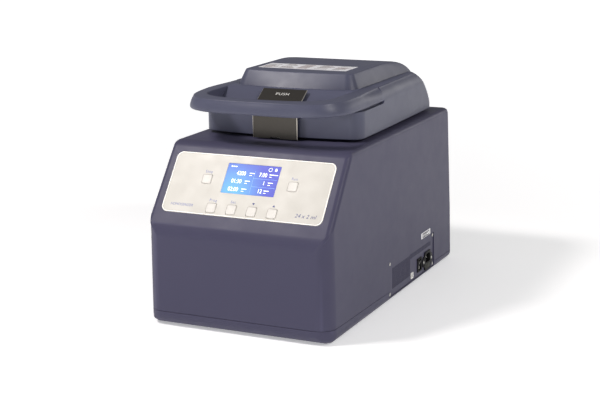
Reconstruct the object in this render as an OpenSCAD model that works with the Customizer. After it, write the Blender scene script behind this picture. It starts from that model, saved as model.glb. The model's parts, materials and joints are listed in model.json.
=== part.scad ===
// Refrigerated bead mill tube homogeniser: housing, control panel, lid with handle and
// push latch, cold chamber with a nutating tube holder, drive, refrigeration and mains entry.
// Origin: centre of the footprint on the bench. +Z is up, the control panel faces -Y.

/* [Body] */
// Width of the housing at its foot
body_w = 332; // [320:1:345]
// Depth of the housing
body_d = 574; // [566:1:590]
// Height of the flat top above the bench
body_h = 292.5; // [288:0.5:298]
// Height of the underside above the bench
foot_gap = 2; // [1.5:0.5:4]
// Wall thickness of the housing
wall = 4; // [3:0.5:5]
// Lean of each side wall, in degrees
side_draft = 0.9; // [0.5:0.1:1.5]
// Radius of the upright front corners
front_r = 22; // [18:1:26]
// Radius of the upright rear corners
rear_r = 12; // [10:1:16]
// Radius along the top edges
edge_r = 9; // [7:0.5:11]
// Height at which the front folds back into the slope
fold_h = 163.5; // [155:0.5:170]
// Depth over which the slope rises to the top
slope_run = 100; // [95:1:105]

/* [Control panel] */
// Width of the control panel
panel_w = 288; // [280:1:292]
// Length of the control panel up the slope
panel_l = 109; // [104:1:112]
// Distance from the front fold up to the panel
panel_start = 33.5; // [30:0.5:36]
// Corner radius of the panel
panel_r = 11; // [8:1:14]
// Width of the visible screen
screen_w = 95; // [90:1:96]
// Height of the visible screen
screen_h = 53.5; // [50:0.5:54]
// Side of a square key
key_size = 16.4; // [15:0.2:17]
// Travel of a key
key_travel = 0.8; // [0.5:0.1:0.9]

/* [Lid] */
// Gap between the closed lid and the housing
lid_gap = 4.5; // [4:0.5:5]
// Half width of the lid wall
lid_hw = 145; // [140:1:146]
// Depth of the lid's front wall behind the housing's front
lid_front = 164; // [160:1:166]
// Depth of the lid's rear wall behind the housing's front
lid_rear = 542; // [538:1:543]
// Height of the slot under the handle arms
arm_z = 346; // [344:1:348]
// Height of the lid's shoulder ridge
ridge_z = 370; // [368:1:372]
// Height of the raised cover's flat top
cover_z = 395; // [391:1:397]
// Half width of the handle
grip_hw = 146; // [144:1:148]
// Depth of the handle's front face behind the housing's front
grip_front = 73.5; // [70:0.5:78]
// Depth of the handle's inner edge behind the housing's front
grip_inner = 94; // [92:1:98]

/* [Chamber and drive] */
// Depth of the chamber axis behind the housing's front
chamber_y = 352; // [350:1:354]
// Inner radius of the chamber bowl
bowl_r = 112; // [108:1:114]
// Tilt of the tube holder's axis, in degrees
tilt = 4; // [3:0.5:5]
// Radius of the tube holder disc
disc_r = 92; // [90:1:94]
// Radius of the circle of tube wells
well_circle_r = 80; // [78:1:81]
// Radius of a tube well
well_r = 5.6; // [5.4:0.1:5.8]
// Number of tube wells
well_count = 24; // [20:1:24]
// Radius of the drive shaft
shaft_r = 10; // [9:0.5:11]

/* [Hidden] */
eps = 0.01;
curve = 96;

// Depth behind the housing's front face, as a frame y
function fy(d) = d - body_d / 2;
// Half width of the housing at height z
function half_w(z) = body_w / 2 - (z - foot_gap) * tan(side_draft);
slope_angle = atan((body_h - fold_h) / slope_run);

// Housing colours
body_colour = [0.35, 0.34, 0.41];
lid_colour = [0.31, 0.33, 0.40];
panel_colour = [0.93, 0.90, 0.86];
steel = [0.72, 0.72, 0.72];
dark = [0.08, 0.08, 0.08];

// ---- shared outlines and placements ----

// Rounded rectangle with true arcs, centred
module round_rect(w, h, r) {
  square([w - 2 * r, h], center = true);
  square([w, h - 2 * r], center = true);
  for (x = [-1, 1], y = [-1, 1])
    translate([x * (w / 2 - r), y * (h / 2 - r)]) circle(r = r, $fn = curve);
}

// Places children on the sloped face: x across, y up the slope from the fold, z outwards
module on_slope() {
  translate([0, fy(0), fold_h]) rotate([slope_angle, 0, 0]) children();
}

// Places children on the panel: origin at the middle of its lower edge
module on_panel() {
  on_slope() translate([0, panel_start, 0]) children();
}

// Balls at both sides whose radius is reduced by inset while their centres stay put
module ball_pair(z, d, r, inset) {
  for (s = [-1, 1])
    translate([s * (half_w(z) - r), fy(d), z]) sphere(r = r - inset, $fn = 24);
}

// Disc pair whose radius is reduced by inset, both moved inwards by shift
module inset_pair(z, d, r, inset, shift = 0) {
  for (s = [-1, 1])
    translate([s * (half_w(z) - r - shift), fy(d), z]) cylinder(r = r - inset, h = 0.5, $fn = 32);
}

foot_round = 12;      // rounding along the bottom edge
fold_r = 40;          // radius of the soft fold in front
crest_r = 16;         // extra radius of the fold into the top
rear_lean = 8;        // how far the rear face leans forward at the top

// The closed outer form of the housing, or the same form shrunk by inset on every side
module body_form(inset) {
  foot_r = foot_round - inset;
  fold_run = fold_r * tan((90 - slope_angle) / 2);
  hull() {
    for (a = [0 : 30 : 90])
      let (z = foot_gap + foot_round - foot_r * cos(a), shift = foot_r * (1 - sin(a))) {
        inset_pair(z, front_r + shift, front_r, inset, shift);
        inset_pair(z, body_d - rear_r - shift, rear_r, inset, shift);
      }
    inset_pair(fold_h - fold_run, front_r, front_r, inset);
    inset_pair(fold_h - 1, front_r + 2.2, front_r, inset);
    inset_pair(fold_h + fold_run * sin(slope_angle) - 1, 18 + fold_run * cos(slope_angle), 18, inset);
    inset_pair(100, body_d - rear_r, rear_r, inset);
    for (a = [0, slope_angle / 2, slope_angle])
      ball_pair(body_h - edge_r - crest_r * (1 - cos(a)),
        slope_run + (edge_r + crest_r) * tan(slope_angle / 2) - crest_r * sin(a), edge_r, inset);
    ball_pair(body_h - edge_r, body_d - rear_lean - rear_r, edge_r, inset);
    inset_pair(body_h - 2 * edge_r, body_d - rear_lean - rear_r, rear_r, inset);
  }
}

seam_front = 25;      // parting line height at the front
seam_rear = 16;       // parting line height at the rear

// Everything above the sloping parting line, raised by lift
module above_seam(lift) {
  translate([-body_w, fy(0), seam_front + lift])
    rotate([-atan((seam_front - seam_rear) / body_d), 0, 0])
    translate([0, -50, 0]) cube([2 * body_w, body_d + 100, 400]);
}

// ---- housing ----

service_y = 362;      // depth of the service plate's middle
service_z = 42;       // height of the service plate's middle
service_w = 224;      // length of the service plate
service_h = 64;       // height of the service plate
service_x = 163.7;    // outer face of the service plate
plate_t = 1.5;        // thickness of the service plate

// Places children on the service plate: x to the rear, y up, z out of the right-hand wall
module on_service(d, z) {
  translate([service_x, fy(d), z]) rotate([90, 0, 90]) children();
}

module service_recess() {
  on_service(service_y, service_z) translate([0, 0, -plate_t])
    linear_extrude(20) round_rect(service_w + 0.6, service_h + 0.6, 4);
}

// Thickened rim inside the housing wall that the service plate is screwed to
module service_rim() {
  intersection() {
    on_service(service_y, service_z) translate([0, 0, -9]) linear_extrude(9)
      round_rect(service_w + 10, service_h + 10, 6);
    body_form(1);
  }
}

// Room for the rim in the locating lip
module service_rim_space() {
  on_service(service_y, service_z) translate([0, 0, -20])
    linear_extrude(40) round_rect(service_w + 12, service_h + 12, 6);
}

// Opening in the wall behind the service plate, down to the plate's lower border
module service_window() {
  on_service(service_y, service_z) translate([0, 0, -20])
    linear_extrude(40) round_rect(service_w - 22, service_h - 6, 3);
}

vent_rows = 7;        // louvre slots in each block
vent_pitch = 11;      // spacing of the louvre slots

// Louvre slots through the rear wall, behind the condenser
module rear_vents() {
  for (i = [0 : vent_rows - 1], s = [-1, 1])
    translate([s * 68 - 50, fy(body_d - 20), 60 + i * vent_pitch]) cube([100, 40, 4.5]);
}

// Louvre slots through the left wall, beside the drive
module left_vents() {
  for (i = [0 : vent_rows - 1])
    translate([-body_w / 2 - 10, fy(300), 60 + i * vent_pitch]) cube([40, 130, 4.5]);
}

module body_shell() {
  color(body_colour) difference() {
    intersection() {
      union() {
        difference() {
          body_form(0);
          body_form(wall);
        }
        service_rim();
      }
      above_seam(0.4);
    }
    translate([0, fy(chamber_y), body_h - 20]) cylinder(r = bowl_r + 2.5, h = 40, $fn = curve);
    on_panel() translate([0, panel_l / 2, -2]) linear_extrude(20)
      round_rect(panel_w + 0.6, panel_l + 0.6, panel_r);
    on_panel() translate([0, panel_l / 2, -12]) linear_extrude(20)
      round_rect(panel_w - 20, panel_l - 5, 6);
    service_recess();
    service_window();
    rear_vents();
    left_vents();
  }
}

// Places children at the four feet
module at_feet() {
  for (x = [-1, 1], d = [60, 510]) translate([x * 120, fy(d), 0]) children();
}

module base_pan() {
  color(body_colour) difference() {
    union() {
      difference() {
        body_form(0);
        translate([0, 0, 1]) body_form(wall);
        above_seam(0);
      }
      // locating lip inside the housing
      difference() {
        body_form(wall + 0.4);
        translate([0, 0, -4]) body_form(wall + 2.4);
        above_seam(6);
        service_rim_space();
      }
    }
    service_recess();
    service_window();
    at_feet() translate([0, 0, -1]) cylinder(r = 4, h = 20, $fn = curve);
    for (i = [0 : 9])
      translate([-60, fy(180 + i * 12), -1]) cube([120, 4, 20]);
  }
}

pan_floor = foot_gap + wall + 1;  // top of the pan's floor

module rubber_feet() {
  color(dark) at_feet() {
    cylinder(r = 14, h = foot_gap, $fn = curve);
    cylinder(r = 4, h = pan_floor + 1, $fn = curve);
    translate([0, 0, pan_floor]) cylinder(r = 6, h = 3, $fn = curve);
  }
}

// ---- control panel ----

screen_u = 2;         // screen centre across the panel
screen_v = 68.4;      // screen centre up the panel
// Each key's middle on the panel
key_stop_at = [-76.6, 62.9];
key_run_at = [78, 62.3];
key_row_v = 12.8;
key_row_u = [-54, -17.7, 18.6, 55];
key_places = [key_stop_at, key_run_at, [key_row_u[0], key_row_v], [key_row_u[1], key_row_v],
  [key_row_u[2], key_row_v], [key_row_u[3], key_row_v]];
fascia_t = 2;         // fascia thickness below the housing's face
board_z = -12;        // underside of the control board
board_t = 1.6;        // thickness of a circuit board

module panel_fascia() {
  color(panel_colour) on_panel() difference() {
    union() {
      translate([0, panel_l / 2, -fascia_t]) linear_extrude(fascia_t + 0.4)
        round_rect(panel_w, panel_l, panel_r);
      translate([0, panel_l / 2, 0]) linear_extrude(0.9) difference() {
        round_rect(panel_w, panel_l, panel_r);
        round_rect(panel_w - 3, panel_l - 3, panel_r - 1.5);
      }
      for (x = [-1, 1], y = [14, panel_l - 14])
        translate([x * 124, y, board_z + board_t]) cylinder(r = 3, h = -board_z - board_t, $fn = curve);
    }
    translate([screen_u, screen_v, -5]) linear_extrude(10)
      round_rect(screen_w + 0.4, screen_h + 0.4, 1);
    for (p = key_places)
      translate([p[0], p[1], -5]) linear_extrude(10) round_rect(key_size + 0.6, key_size + 0.6, 2.8);
  }
}

module display_window() {
  color([0.1, 0.2, 0.6]) on_panel() translate([screen_u, screen_v, 0]) {
    translate([0, 0, -fascia_t - 0.1]) linear_extrude(fascia_t + 0.2) round_rect(screen_w, screen_h, 0.8);
    translate([0, 0, -3]) linear_extrude(3 - fascia_t) round_rect(screen_w + 6, screen_h + 6, 2);
  }
}

module display_module() {
  color([0.3, 0.5, 0.9]) on_panel() translate([screen_u, screen_v, board_z + board_t])
    linear_extrude(-board_z - board_t - 3) round_rect(screen_w + 8, screen_h + 12, 1.5);
}

module control_board() {
  color([0.05, 0.3, 0.15]) on_panel() {
    translate([0, panel_l / 2, board_z]) linear_extrude(board_t) round_rect(panel_w - 24, panel_l - 20, 4);
    for (p = key_places)
      translate([p[0], p[1], board_z + board_t]) {
        linear_extrude(3.2) round_rect(6, 6, 0.5);
        cylinder(r = 1.7, h = 4.2, $fn = curve);
      }
  }
}

// A square key: cap, retaining flange under the fascia, and stem down to its switch
module key_cap(place) {
  stem_bottom = board_z + board_t + 4.2 + 0.1 + key_travel;
  color([0.88, 0.87, 0.85]) on_panel() translate([place[0], place[1], 0]) {
    difference() {
      translate([0, 0, -fascia_t - 0.1]) linear_extrude(fascia_t + 1.8) round_rect(key_size, key_size, 2.5);
      translate([0, 0, 60]) sphere(r = 58.7, $fn = curve);
    }
    translate([0, 0, -fascia_t - 1.1]) linear_extrude(1) round_rect(key_size + 3, key_size + 3, 3);
    translate([0, 0, stem_bottom]) cylinder(r = 2, h = -stem_bottom - fascia_t, $fn = curve);
  }
}

module key_stop() { key_cap(key_places[0]); }
module key_run() { key_cap(key_places[1]); }
module key_program() { key_cap(key_places[2]); }
module key_set() { key_cap(key_places[3]); }
module key_down() { key_cap(key_places[4]); }
module key_up() { key_cap(key_places[5]); }

// ---- service side ----

inlet_y = 441;        // depth of the mains inlet
inlet_z = 28.5;       // height of the mains inlet
inlet_w = 27;         // width of the inlet's housing
inlet_h = 34;         // height of the inlet's flange
inlet_body_h = 30;    // height of the inlet's body behind the plate
ear_x = 20;           // half spacing of the inlet's two screws
rocker_y = 401;       // depth of the power switch
rocker_z = 30;        // height of the power switch
rocker_w = 19;        // width of the switch body behind the plate
rocker_h = 22;        // height of the switch body behind the plate
pivot_depth = 8;      // depth of the rocker's pivot behind the plate's face
usb_y = 364;          // depth of the data port
usb_z = 19.5;         // height of the data port
usb_w = 12;           // width of the data port's shell
usb_h = 11;           // height of the data port's shell
rib_pitch = 4;        // spacing of the vent ribs
rib_gap = 1.8;        // width of the slot between two ribs

// Rectangular opening through the service plate
module through_plate(d, z, w, h) {
  on_service(d, z) translate([0, 0, -5]) linear_extrude(10) round_rect(w, h, min(1, w / 4));
}

// Places children at the service plate's four corner screws
module at_plate_screws() {
  for (y = [-1, 1], z = [-1, 1])
    on_service(service_y + y * (service_w / 2 - 6), service_z + z * (service_h / 2 - 5)) children();
}

module service_plate() {
  color(body_colour) difference() {
    on_service(service_y, service_z) translate([0, 0, -plate_t]) linear_extrude(plate_t)
      round_rect(service_w, service_h, 4);
    through_plate(inlet_y, inlet_z, inlet_w + 0.4, inlet_body_h + 0.4);
    through_plate(rocker_y, rocker_z, rocker_w + 0.4, rocker_h + 0.4);
    through_plate(usb_y, usb_z, usb_w + 0.4, usb_h + 0.4);
    for (i = [0 : 21])
      through_plate(270 + i * rib_pitch, 40, rib_gap, 38);
    for (i = [0 : 25])
      through_plate(358 + i * rib_pitch, 56, rib_gap, 9);
    at_plate_screws() translate([0, 0, -5]) cylinder(r = 1.7, h = 10, $fn = curve);
    for (x = [-1, 1])
      on_service(inlet_y + x * ear_x, inlet_z) translate([0, 0, -5]) cylinder(r = 1.7, h = 10, $fn = curve);
  }
}

// Pan-head screw pointing into the wall: head radius, head height, shank radius and length
module pan_screw(head_r, head_h, shank_r, length) {
  difference() {
    intersection() {
      cylinder(r = head_r, h = head_h, $fn = curve);
      translate([0, 0, head_h - 3 * head_r]) sphere(r = 3 * head_r, $fn = curve);
    }
    translate([-head_r * 0.6, -0.3, head_h * 0.5]) cube([head_r * 1.2, 0.6, head_h]);
    translate([-0.3, -head_r * 0.6, head_h * 0.5]) cube([0.6, head_r * 1.2, head_h]);
  }
  translate([0, 0, -length]) cylinder(r = shank_r, h = length, $fn = curve);
}

module service_screws() {
  color(steel) at_plate_screws() pan_screw(3, 1.6, 1.5, plate_t);
}

drawer_w = 24;        // width of the fuse drawer
drawer_h = 9;         // height of the fuse drawer
socket_z = 5;         // socket centre above the inlet's centre
drawer_z = -10.5;     // fuse drawer centre relative to the inlet's centre

module power_inlet() {
  color(dark) on_service(inlet_y, inlet_z) difference() {
    union() {
      linear_extrude(2.2) round_rect(48, 20, 6);
      linear_extrude(2.2) round_rect(30, inlet_h, 3);
      translate([0, 0, -30]) linear_extrude(31) round_rect(inlet_w, inlet_body_h, 1);
    }
    translate([0, socket_z, -16]) linear_extrude(30) round_rect(24, 16, 2.5);
    translate([0, drawer_z, -26]) linear_extrude(40) square([drawer_w + 0.4, drawer_h + 0.4], center = true);
    for (x = [-1, 1]) translate([x * ear_x, 0, 0]) {
      translate([0, 0, -5]) cylinder(r = 1.7, h = 20, $fn = curve);
      translate([0, 0, 1]) cylinder(r = 3.2, h = 5, $fn = curve);
    }
  }
  // contact blades inside the socket
  color(steel) on_service(inlet_y, inlet_z) for (p = [[-7, 3], [0, 7], [7, 3]])
    translate([p[0] - 1, p[1] - 2, -18]) cube([2, 4, 10]);
}

module inlet_screws() {
  color(steel) on_service(inlet_y, inlet_z) for (x = [-1, 1])
    translate([x * ear_x, 0, 1]) pan_screw(3, 1.1, 1.5, 4);
}

module fuse_drawer() {
  color(dark) on_service(inlet_y, inlet_z) translate([0, drawer_z, 0]) difference() {
    translate([0, 0, -24]) linear_extrude(25.6) square([drawer_w, drawer_h], center = true);
    translate([-11, -2.9, -22]) cube([22, 5.8, 8]);
    translate([-3, -drawer_h, 1]) cube([6, 2 * drawer_h, 2]);
  }
}

module line_fuse() {
  color([0.8, 0.85, 0.85]) on_service(inlet_y, inlet_z)
    translate([-10, drawer_z, -18]) rotate([0, 90, 0]) cylinder(r = 2.6, h = 20, $fn = curve);
}

module rocker_frame() {
  color(dark) on_service(rocker_y, rocker_z) difference() {
    union() {
      linear_extrude(1.6) round_rect(22.5, 25.5, 2);
      translate([0, 0, -18]) linear_extrude(19) round_rect(rocker_w, rocker_h, 1);
    }
    translate([0, 0, -14]) linear_extrude(30) square([13.4, 20], center = true);
    translate([-20, 0, -pivot_depth]) rotate([0, 90, 0]) cylinder(r = 1.55, h = 40, $fn = curve);
  }
}

rocker_tilt = 8;      // resting tilt of the rocker

module power_rocker() {
  color([0.1, 0.1, 0.1]) on_service(rocker_y, rocker_z) translate([0, 0, -pivot_depth]) {
    rotate([0, 90, 0]) translate([0, 0, -9]) cylinder(r = 1.5, h = 18, $fn = curve);
    rotate([rocker_tilt, 0, 0]) intersection() {
      translate([-6.5, -9, -2]) cube([13, 18, 14]);
      rotate([0, 90, 0]) translate([0, 0, -9]) cylinder(r = 9.6, h = 18, $fn = curve);
    }
  }
}

module usb_port() {
  color([0.85, 0.85, 0.85]) on_service(usb_y, usb_z) {
    difference() {
      translate([0, 0, -16]) linear_extrude(16.8) round_rect(usb_w, usb_h, 0.5);
      translate([0, 0, -10]) linear_extrude(20) round_rect(8.6, 7.8, 1);
    }
    translate([-2.8, -1.6, -11]) cube([5.6, 3.2, 6]);
  }
}

label_z = 80.2;       // height of the side label's middle

module rating_label() {
  color([0.95, 0.95, 0.97]) translate([half_w(label_z), fy(431.5), label_z])
    rotate([90 - side_draft, 0, 90]) translate([0, 0, 0.03]) linear_extrude(0.25) round_rect(47, 10.5, 1);
}

// ---- drive ----

deck_z = 152;         // underside of the drive plate
deck_t = 10;          // thickness of the drive plate
post_d = 85;          // half spacing of the isolators
mount_h = 25;         // height of an isolator
wobble_z = 268;       // height where the tilted axis meets the shaft axis

module at_chamber(z) {
  translate([0, fy(chamber_y), z]) children();
}

// Places children on the tilted axis of the tube holder
module on_tilt() {
  at_chamber(wobble_z) rotate([0, tilt, 0]) children();
}

// Places children on the four isolator posts
module at_posts(z) {
  for (x = [-1, 1], y = [-1, 1])
    translate([x * post_d, fy(chamber_y) + y * post_d, z]) children();
}

module chassis_frame() {
  color([0.6, 0.62, 0.65]) {
    difference() {
      translate([-130, fy(40), pan_floor + 4]) cube([260, 490, 3]);
      at_feet() cylinder(r = 8, h = 30, $fn = curve);
      for (i = [0 : 5])
        translate([-60, fy(150 + i * 16), 0]) cube([120, 6, 30]);
    }
    at_posts(pan_floor + 4) cylinder(r = 10, h = deck_z - mount_h - pan_floor - 4, $fn = curve);
    for (x = [-1, 1], d = [90, 470])
      translate([x * 110, fy(d), pan_floor]) cylinder(r = 8, h = 5, $fn = curve);
  }
}

module isolator_mounts() {
  color(dark) at_posts(deck_z - mount_h) {
    cylinder(r = 15, h = mount_h, $fn = curve);
    cylinder(r = 5, h = mount_h + deck_t + 4, $fn = curve);
  }
}

module drive_plate() {
  color(steel) at_chamber(deck_z) difference() {
    linear_extrude(deck_t) round_rect(2 * post_d + 40, 2 * post_d + 40, 16);
    translate([0, 0, -5]) cylinder(r = 45, h = 30, $fn = curve);
    for (x = [-1, 1], y = [-1, 1])
      translate([x * post_d, y * post_d, -5]) cylinder(r = 5.1, h = 30, $fn = curve);
  }
}

module motor_body() {
  color([0.25, 0.25, 0.27]) at_chamber(0) difference() {
    union() {
      translate([0, 0, 36]) cylinder(r = 52, h = deck_z - 42, $fn = curve);
      translate([0, 0, deck_z - 6]) cylinder(r = 62, h = 6, $fn = curve);
      translate([44, -14, 60]) cube([22, 28, 40]);
    }
    translate([0, 0, 44]) cylinder(r = shaft_r + 0.6, h = 200, $fn = curve);
    for (a = [0 : 15 : 345]) rotate([0, 0, a]) translate([50, -1.5, 46]) cube([10, 3, 84]);
  }
}

module bearing_housing() {
  color(steel) at_chamber(deck_z + deck_t) difference() {
    union() {
      cylinder(r = 58, h = 6, $fn = curve);
      cylinder(r = 30, h = 84, $fn = curve);
    }
    translate([0, 0, -1]) cylinder(r = 20, h = 90, $fn = curve);
    translate([0, 0, 20]) cylinder(r = 26, h = 48, $fn = curve);
  }
}

// Ring of a bearing with shields
module bearing_ring(r_in, r_out, h) {
  difference() {
    cylinder(r = r_out, h = h, $fn = curve);
    translate([0, 0, -1]) cylinder(r = r_in, h = h + 2, $fn = curve);
    for (z = [-eps, h - 0.8])
      translate([0, 0, z]) difference() {
        cylinder(r = r_out - 2.5, h = 0.8 + eps, $fn = curve);
        translate([0, 0, -1]) cylinder(r = r_in + 2.5, h = 4, $fn = curve);
      }
  }
}

module shaft_bearings() {
  color(steel) at_chamber(deck_z + deck_t) for (z = [4, 69])
    translate([0, 0, z]) bearing_ring(shaft_r + 0.05, 20, 14);
}

journal_r = 14;       // radius of the tilted journal

module drive_shaft() {
  color(steel) {
    at_chamber(46) cylinder(r = shaft_r, h = wobble_z - 6 - 46, $fn = curve);
    on_tilt() {
      translate([0, 0, -10]) cylinder(r = journal_r, h = 28, $fn = curve);
      translate([0, 0, -11]) cylinder(r = 17, h = 3, $fn = curve);
      translate([0, 0, 18]) cylinder(r = 17, h = 2, $fn = curve);
      translate([0, 0, 20]) cylinder(r = 6, h = 4, $fn = curve);
    }
  }
}

module counterweight() {
  color([0.55, 0.5, 0.35]) at_chamber(190) difference() {
    cylinder(r = 24, h = 22, $fn = curve);
    translate([0, 0, -1]) cylinder(r = shaft_r, h = 30, $fn = curve);
    translate([8, -30, -1]) cube([40, 60, 30]);
  }
}

// ---- tube holder ----

hub_r = 32;           // radius of the holder's hub
seat_z = 18;          // height of the disc's seat along the tilted axis
disc_t = 8;           // thickness of the tube disc
clamp_z = seat_z + disc_t + 12;  // underside of the clamp plate

module hub_bearing() {
  color(steel) on_tilt() translate([0, 0, -7.9]) bearing_ring(journal_r + 0.05, 24, 25.8);
}

module holder_hub() {
  color([0.62, 0.63, 0.65]) on_tilt() difference() {
    union() {
      translate([0, 0, -9]) cylinder(r = hub_r, h = 39, $fn = curve);
      translate([0, 0, seat_z - 4]) cylinder(r = 45, h = 4, $fn = curve);
      translate([0, 0, 29]) cylinder(r = 5, h = 26, $fn = curve);
    }
    translate([0, 0, -10]) cylinder(r = 24, h = 27.9, $fn = curve);
    translate([0, 0, 0]) cylinder(r = 20, h = 27, $fn = curve);
  }
}

module tube_disc() {
  color([0.7, 0.71, 0.73]) on_tilt() translate([0, 0, seat_z]) difference() {
    cylinder(r = disc_r, h = disc_t, $fn = curve);
    translate([0, 0, -1]) cylinder(r = hub_r, h = disc_t + 2, $fn = curve);
    for (i = [0 : well_count - 1]) rotate([0, 0, i * 360 / well_count])
      translate([well_circle_r, 0, -1]) cylinder(r = well_r, h = disc_t + 2, $fn = curve);
  }
}

module clamp_plate() {
  color([0.7, 0.71, 0.73]) on_tilt() translate([0, 0, clamp_z]) difference() {
    union() {
      cylinder(r = disc_r - 2, h = 4, $fn = curve);
      translate([0, 0, -7.9]) cylinder(r = 26, h = 8, $fn = curve);
    }
    translate([0, 0, -20]) cylinder(r = 5.1, h = 40, $fn = curve);
    for (a = [30 : 60 : 330]) rotate([0, 0, a]) translate([46, 0, -1]) cylinder(r = 11, h = 10, $fn = curve);
  }
}

module clamp_knob() {
  color(dark) on_tilt() translate([0, 0, clamp_z + 4.2]) difference() {
    union() {
      cylinder(r = 11, h = 5, $fn = curve);
      translate([0, 0, 4]) cylinder(r = 20, h = 14, $fn = curve);
    }
    translate([0, 0, -1]) cylinder(r = 5.05, h = 14.5, $fn = curve);
    for (a = [0 : 45 : 315]) rotate([0, 0, a]) translate([23, 0, 3]) cylinder(r = 5, h = 20, $fn = curve);
  }
}

// ---- chamber ----

bowl_floor = 206;     // height of the bowl's floor
bowl_t = 1.5;         // thickness of the bowl's sheet

module chamber_bowl() {
  color([0.78, 0.78, 0.78]) at_chamber(0) rotate_extrude($fn = curve) difference() {
    union() {
      translate([bowl_r, bowl_floor]) square([bowl_t, body_h - bowl_floor + 1.2]);
      translate([bowl_r, body_h]) square([14, 1.2]);
      translate([38, bowl_floor]) square([bowl_r - 38 + bowl_t, bowl_t]);
      translate([38, bowl_floor]) square([bowl_t, 22]);
    }
  }
}

// Rubber gaiter between the bowl's collar and the holder
module chamber_boot() {
  color(dark) at_chamber(bowl_floor + bowl_t) difference() {
    union() {
      for (i = [0 : 3]) translate([0, 0, i * 8]) cylinder(r1 = 44, r2 = 50, h = 4, $fn = curve);
      for (i = [0 : 3]) translate([0, 0, i * 8 + 4]) cylinder(r1 = 50, r2 = 44, h = 4, $fn = curve);
    }
    translate([0, 0, -1]) cylinder(r = 38 + bowl_t, h = 40, $fn = curve);
  }
}

module bowl_insulation() {
  color([0.9, 0.88, 0.8]) at_chamber(222) difference() {
    cylinder(r = 136, h = 64, $fn = curve);
    translate([0, 0, -1]) cylinder(r = 124, h = 70, $fn = curve);
  }
}

module evaporator_coil() {
  color([0.72, 0.45, 0.3]) at_chamber(0) for (i = [0 : 4])
    translate([0, 0, 230 + i * 12]) rotate_extrude($fn = curve)
      translate([118.6, 0]) circle(r = 4, $fn = curve);
}

module compressor() {
  color(dark) translate([-86, fy(500), 0]) {
    translate([0, 0, 30]) cylinder(r = 44, h = 90, $fn = curve);
    translate([0, 0, 120]) intersection() {
      cylinder(r = 44, h = 30, $fn = curve);
      translate([0, 0, -33]) sphere(r = 55, $fn = curve);
    }
    for (a = [30, 150, 270]) rotate([0, 0, a]) translate([34, 0, pan_floor + 7])
      cylinder(r = 7, h = 31 - pan_floor - 7, $fn = curve);
    translate([20, 0, 130]) cylinder(r = 4, h = 40, $fn = curve);
  }
}

module condenser() {
  color([0.65, 0.66, 0.68]) {
    for (i = [0 : 24])
      translate([8 + i * 5, fy(538), 30]) cube([1, 18, 110]);
    for (z = [45, 85, 125])
      translate([2, fy(547), z]) rotate([0, 90, 0]) cylinder(r = 4, h = 134, $fn = curve);
  }
}

fan_x = 70;           // fan centre across the housing
fan_z = 85;           // fan centre height
fan_y = 506;          // front face of the fan frame

module fan_frame() {
  color(dark) translate([fan_x, fy(fan_y), fan_z]) rotate([-90, 0, 0]) difference() {
    union() {
      difference() {
        linear_extrude(25) round_rect(110, 110, 5);
        translate([0, 0, -1]) cylinder(r = 52, h = 40, $fn = curve);
      }
      for (a = [45 : 90 : 315]) rotate([0, 0, a]) translate([0, -2.5, 22]) cube([54, 5, 3]);
      translate([0, 0, 20]) cylinder(r = 16, h = 5, $fn = curve);
    }
    translate([0, 0, 5]) cylinder(r = 2.05, h = 17, $fn = curve);
  }
}

module fan_rotor() {
  color([0.2, 0.2, 0.2]) translate([fan_x, fy(fan_y), fan_z]) rotate([-90, 0, 0]) {
    translate([0, 0, 3]) cylinder(r = 18, h = 16, $fn = curve);
    translate([0, 0, 10]) cylinder(r = 2, h = 11, $fn = curve);
    for (a = [0 : 360 / 7 : 359]) rotate([0, 0, a])
      translate([17, 0, 11]) rotate([35, 0, 0]) translate([0, -9, -0.8]) cube([32, 18, 1.6]);
  }
}

module power_supply() {
  color([0.75, 0.76, 0.78]) translate([98, fy(282), pan_floor + 7]) cube([38, 96, 62]);
}

module drive_board() {
  color([0.05, 0.3, 0.15]) {
    translate([-110, fy(70), pan_floor + 9]) cube([220, 110, 1.6]);
    translate([-90, fy(80), pan_floor + 10]) cube([70, 60, 24]);
    translate([10, fy(80), pan_floor + 10]) cube([36, 60, 14]);
    for (x = [-1, 1], d = [76, 174])
      translate([x * 104, fy(d), pan_floor + 7]) cylinder(r = 3, h = 2.5, $fn = curve);
  }
}

// ---- lid ----

lid_z = body_h + lid_gap;         // underside of the lid
lid_bow = 1450;                   // twice the radius of the bowed front wall
lid_corner = 24;                  // front corner radius of the lid wall
lid_rear_r = 32;                  // rear corner radius of the lid
lid_taper = 5;                    // how much narrower each side is at the rear
roll_steps = 12;                  // points along the lid's rear profile
lid_roll = 66;                    // how far the lid's rear leans forward up to the ridge
roll_z = lid_z + 10;              // height at which that lean begins
roll_power = 1.3;                 // fullness of the lean
arm_end = 280;                    // depth at which the handle arms end
roof_t = 6;                       // thickness of the lid's roof under the handle arms
slot_h = 3.5;                     // height of the slot under the handle arms
slot_depth = 6;                   // depth of the slot under the handle arms

function arc_points(cx, cy, r, a0, a1, n) =
  [for (i = [0 : n]) let (a = a0 + (a1 - a0) * i / n) [cx + r * cos(a), cy + r * sin(a)]];

// Depth of the lid's rear at height z, which rolls forward towards the ridge
function lid_rear_at(z) = let (t = max(0, min(1, (z - roll_z) / (ridge_z - roll_z))))
  lid_rear - lid_roll * (1 - pow(1 - pow(t, roll_power), 1 / roll_power));

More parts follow.
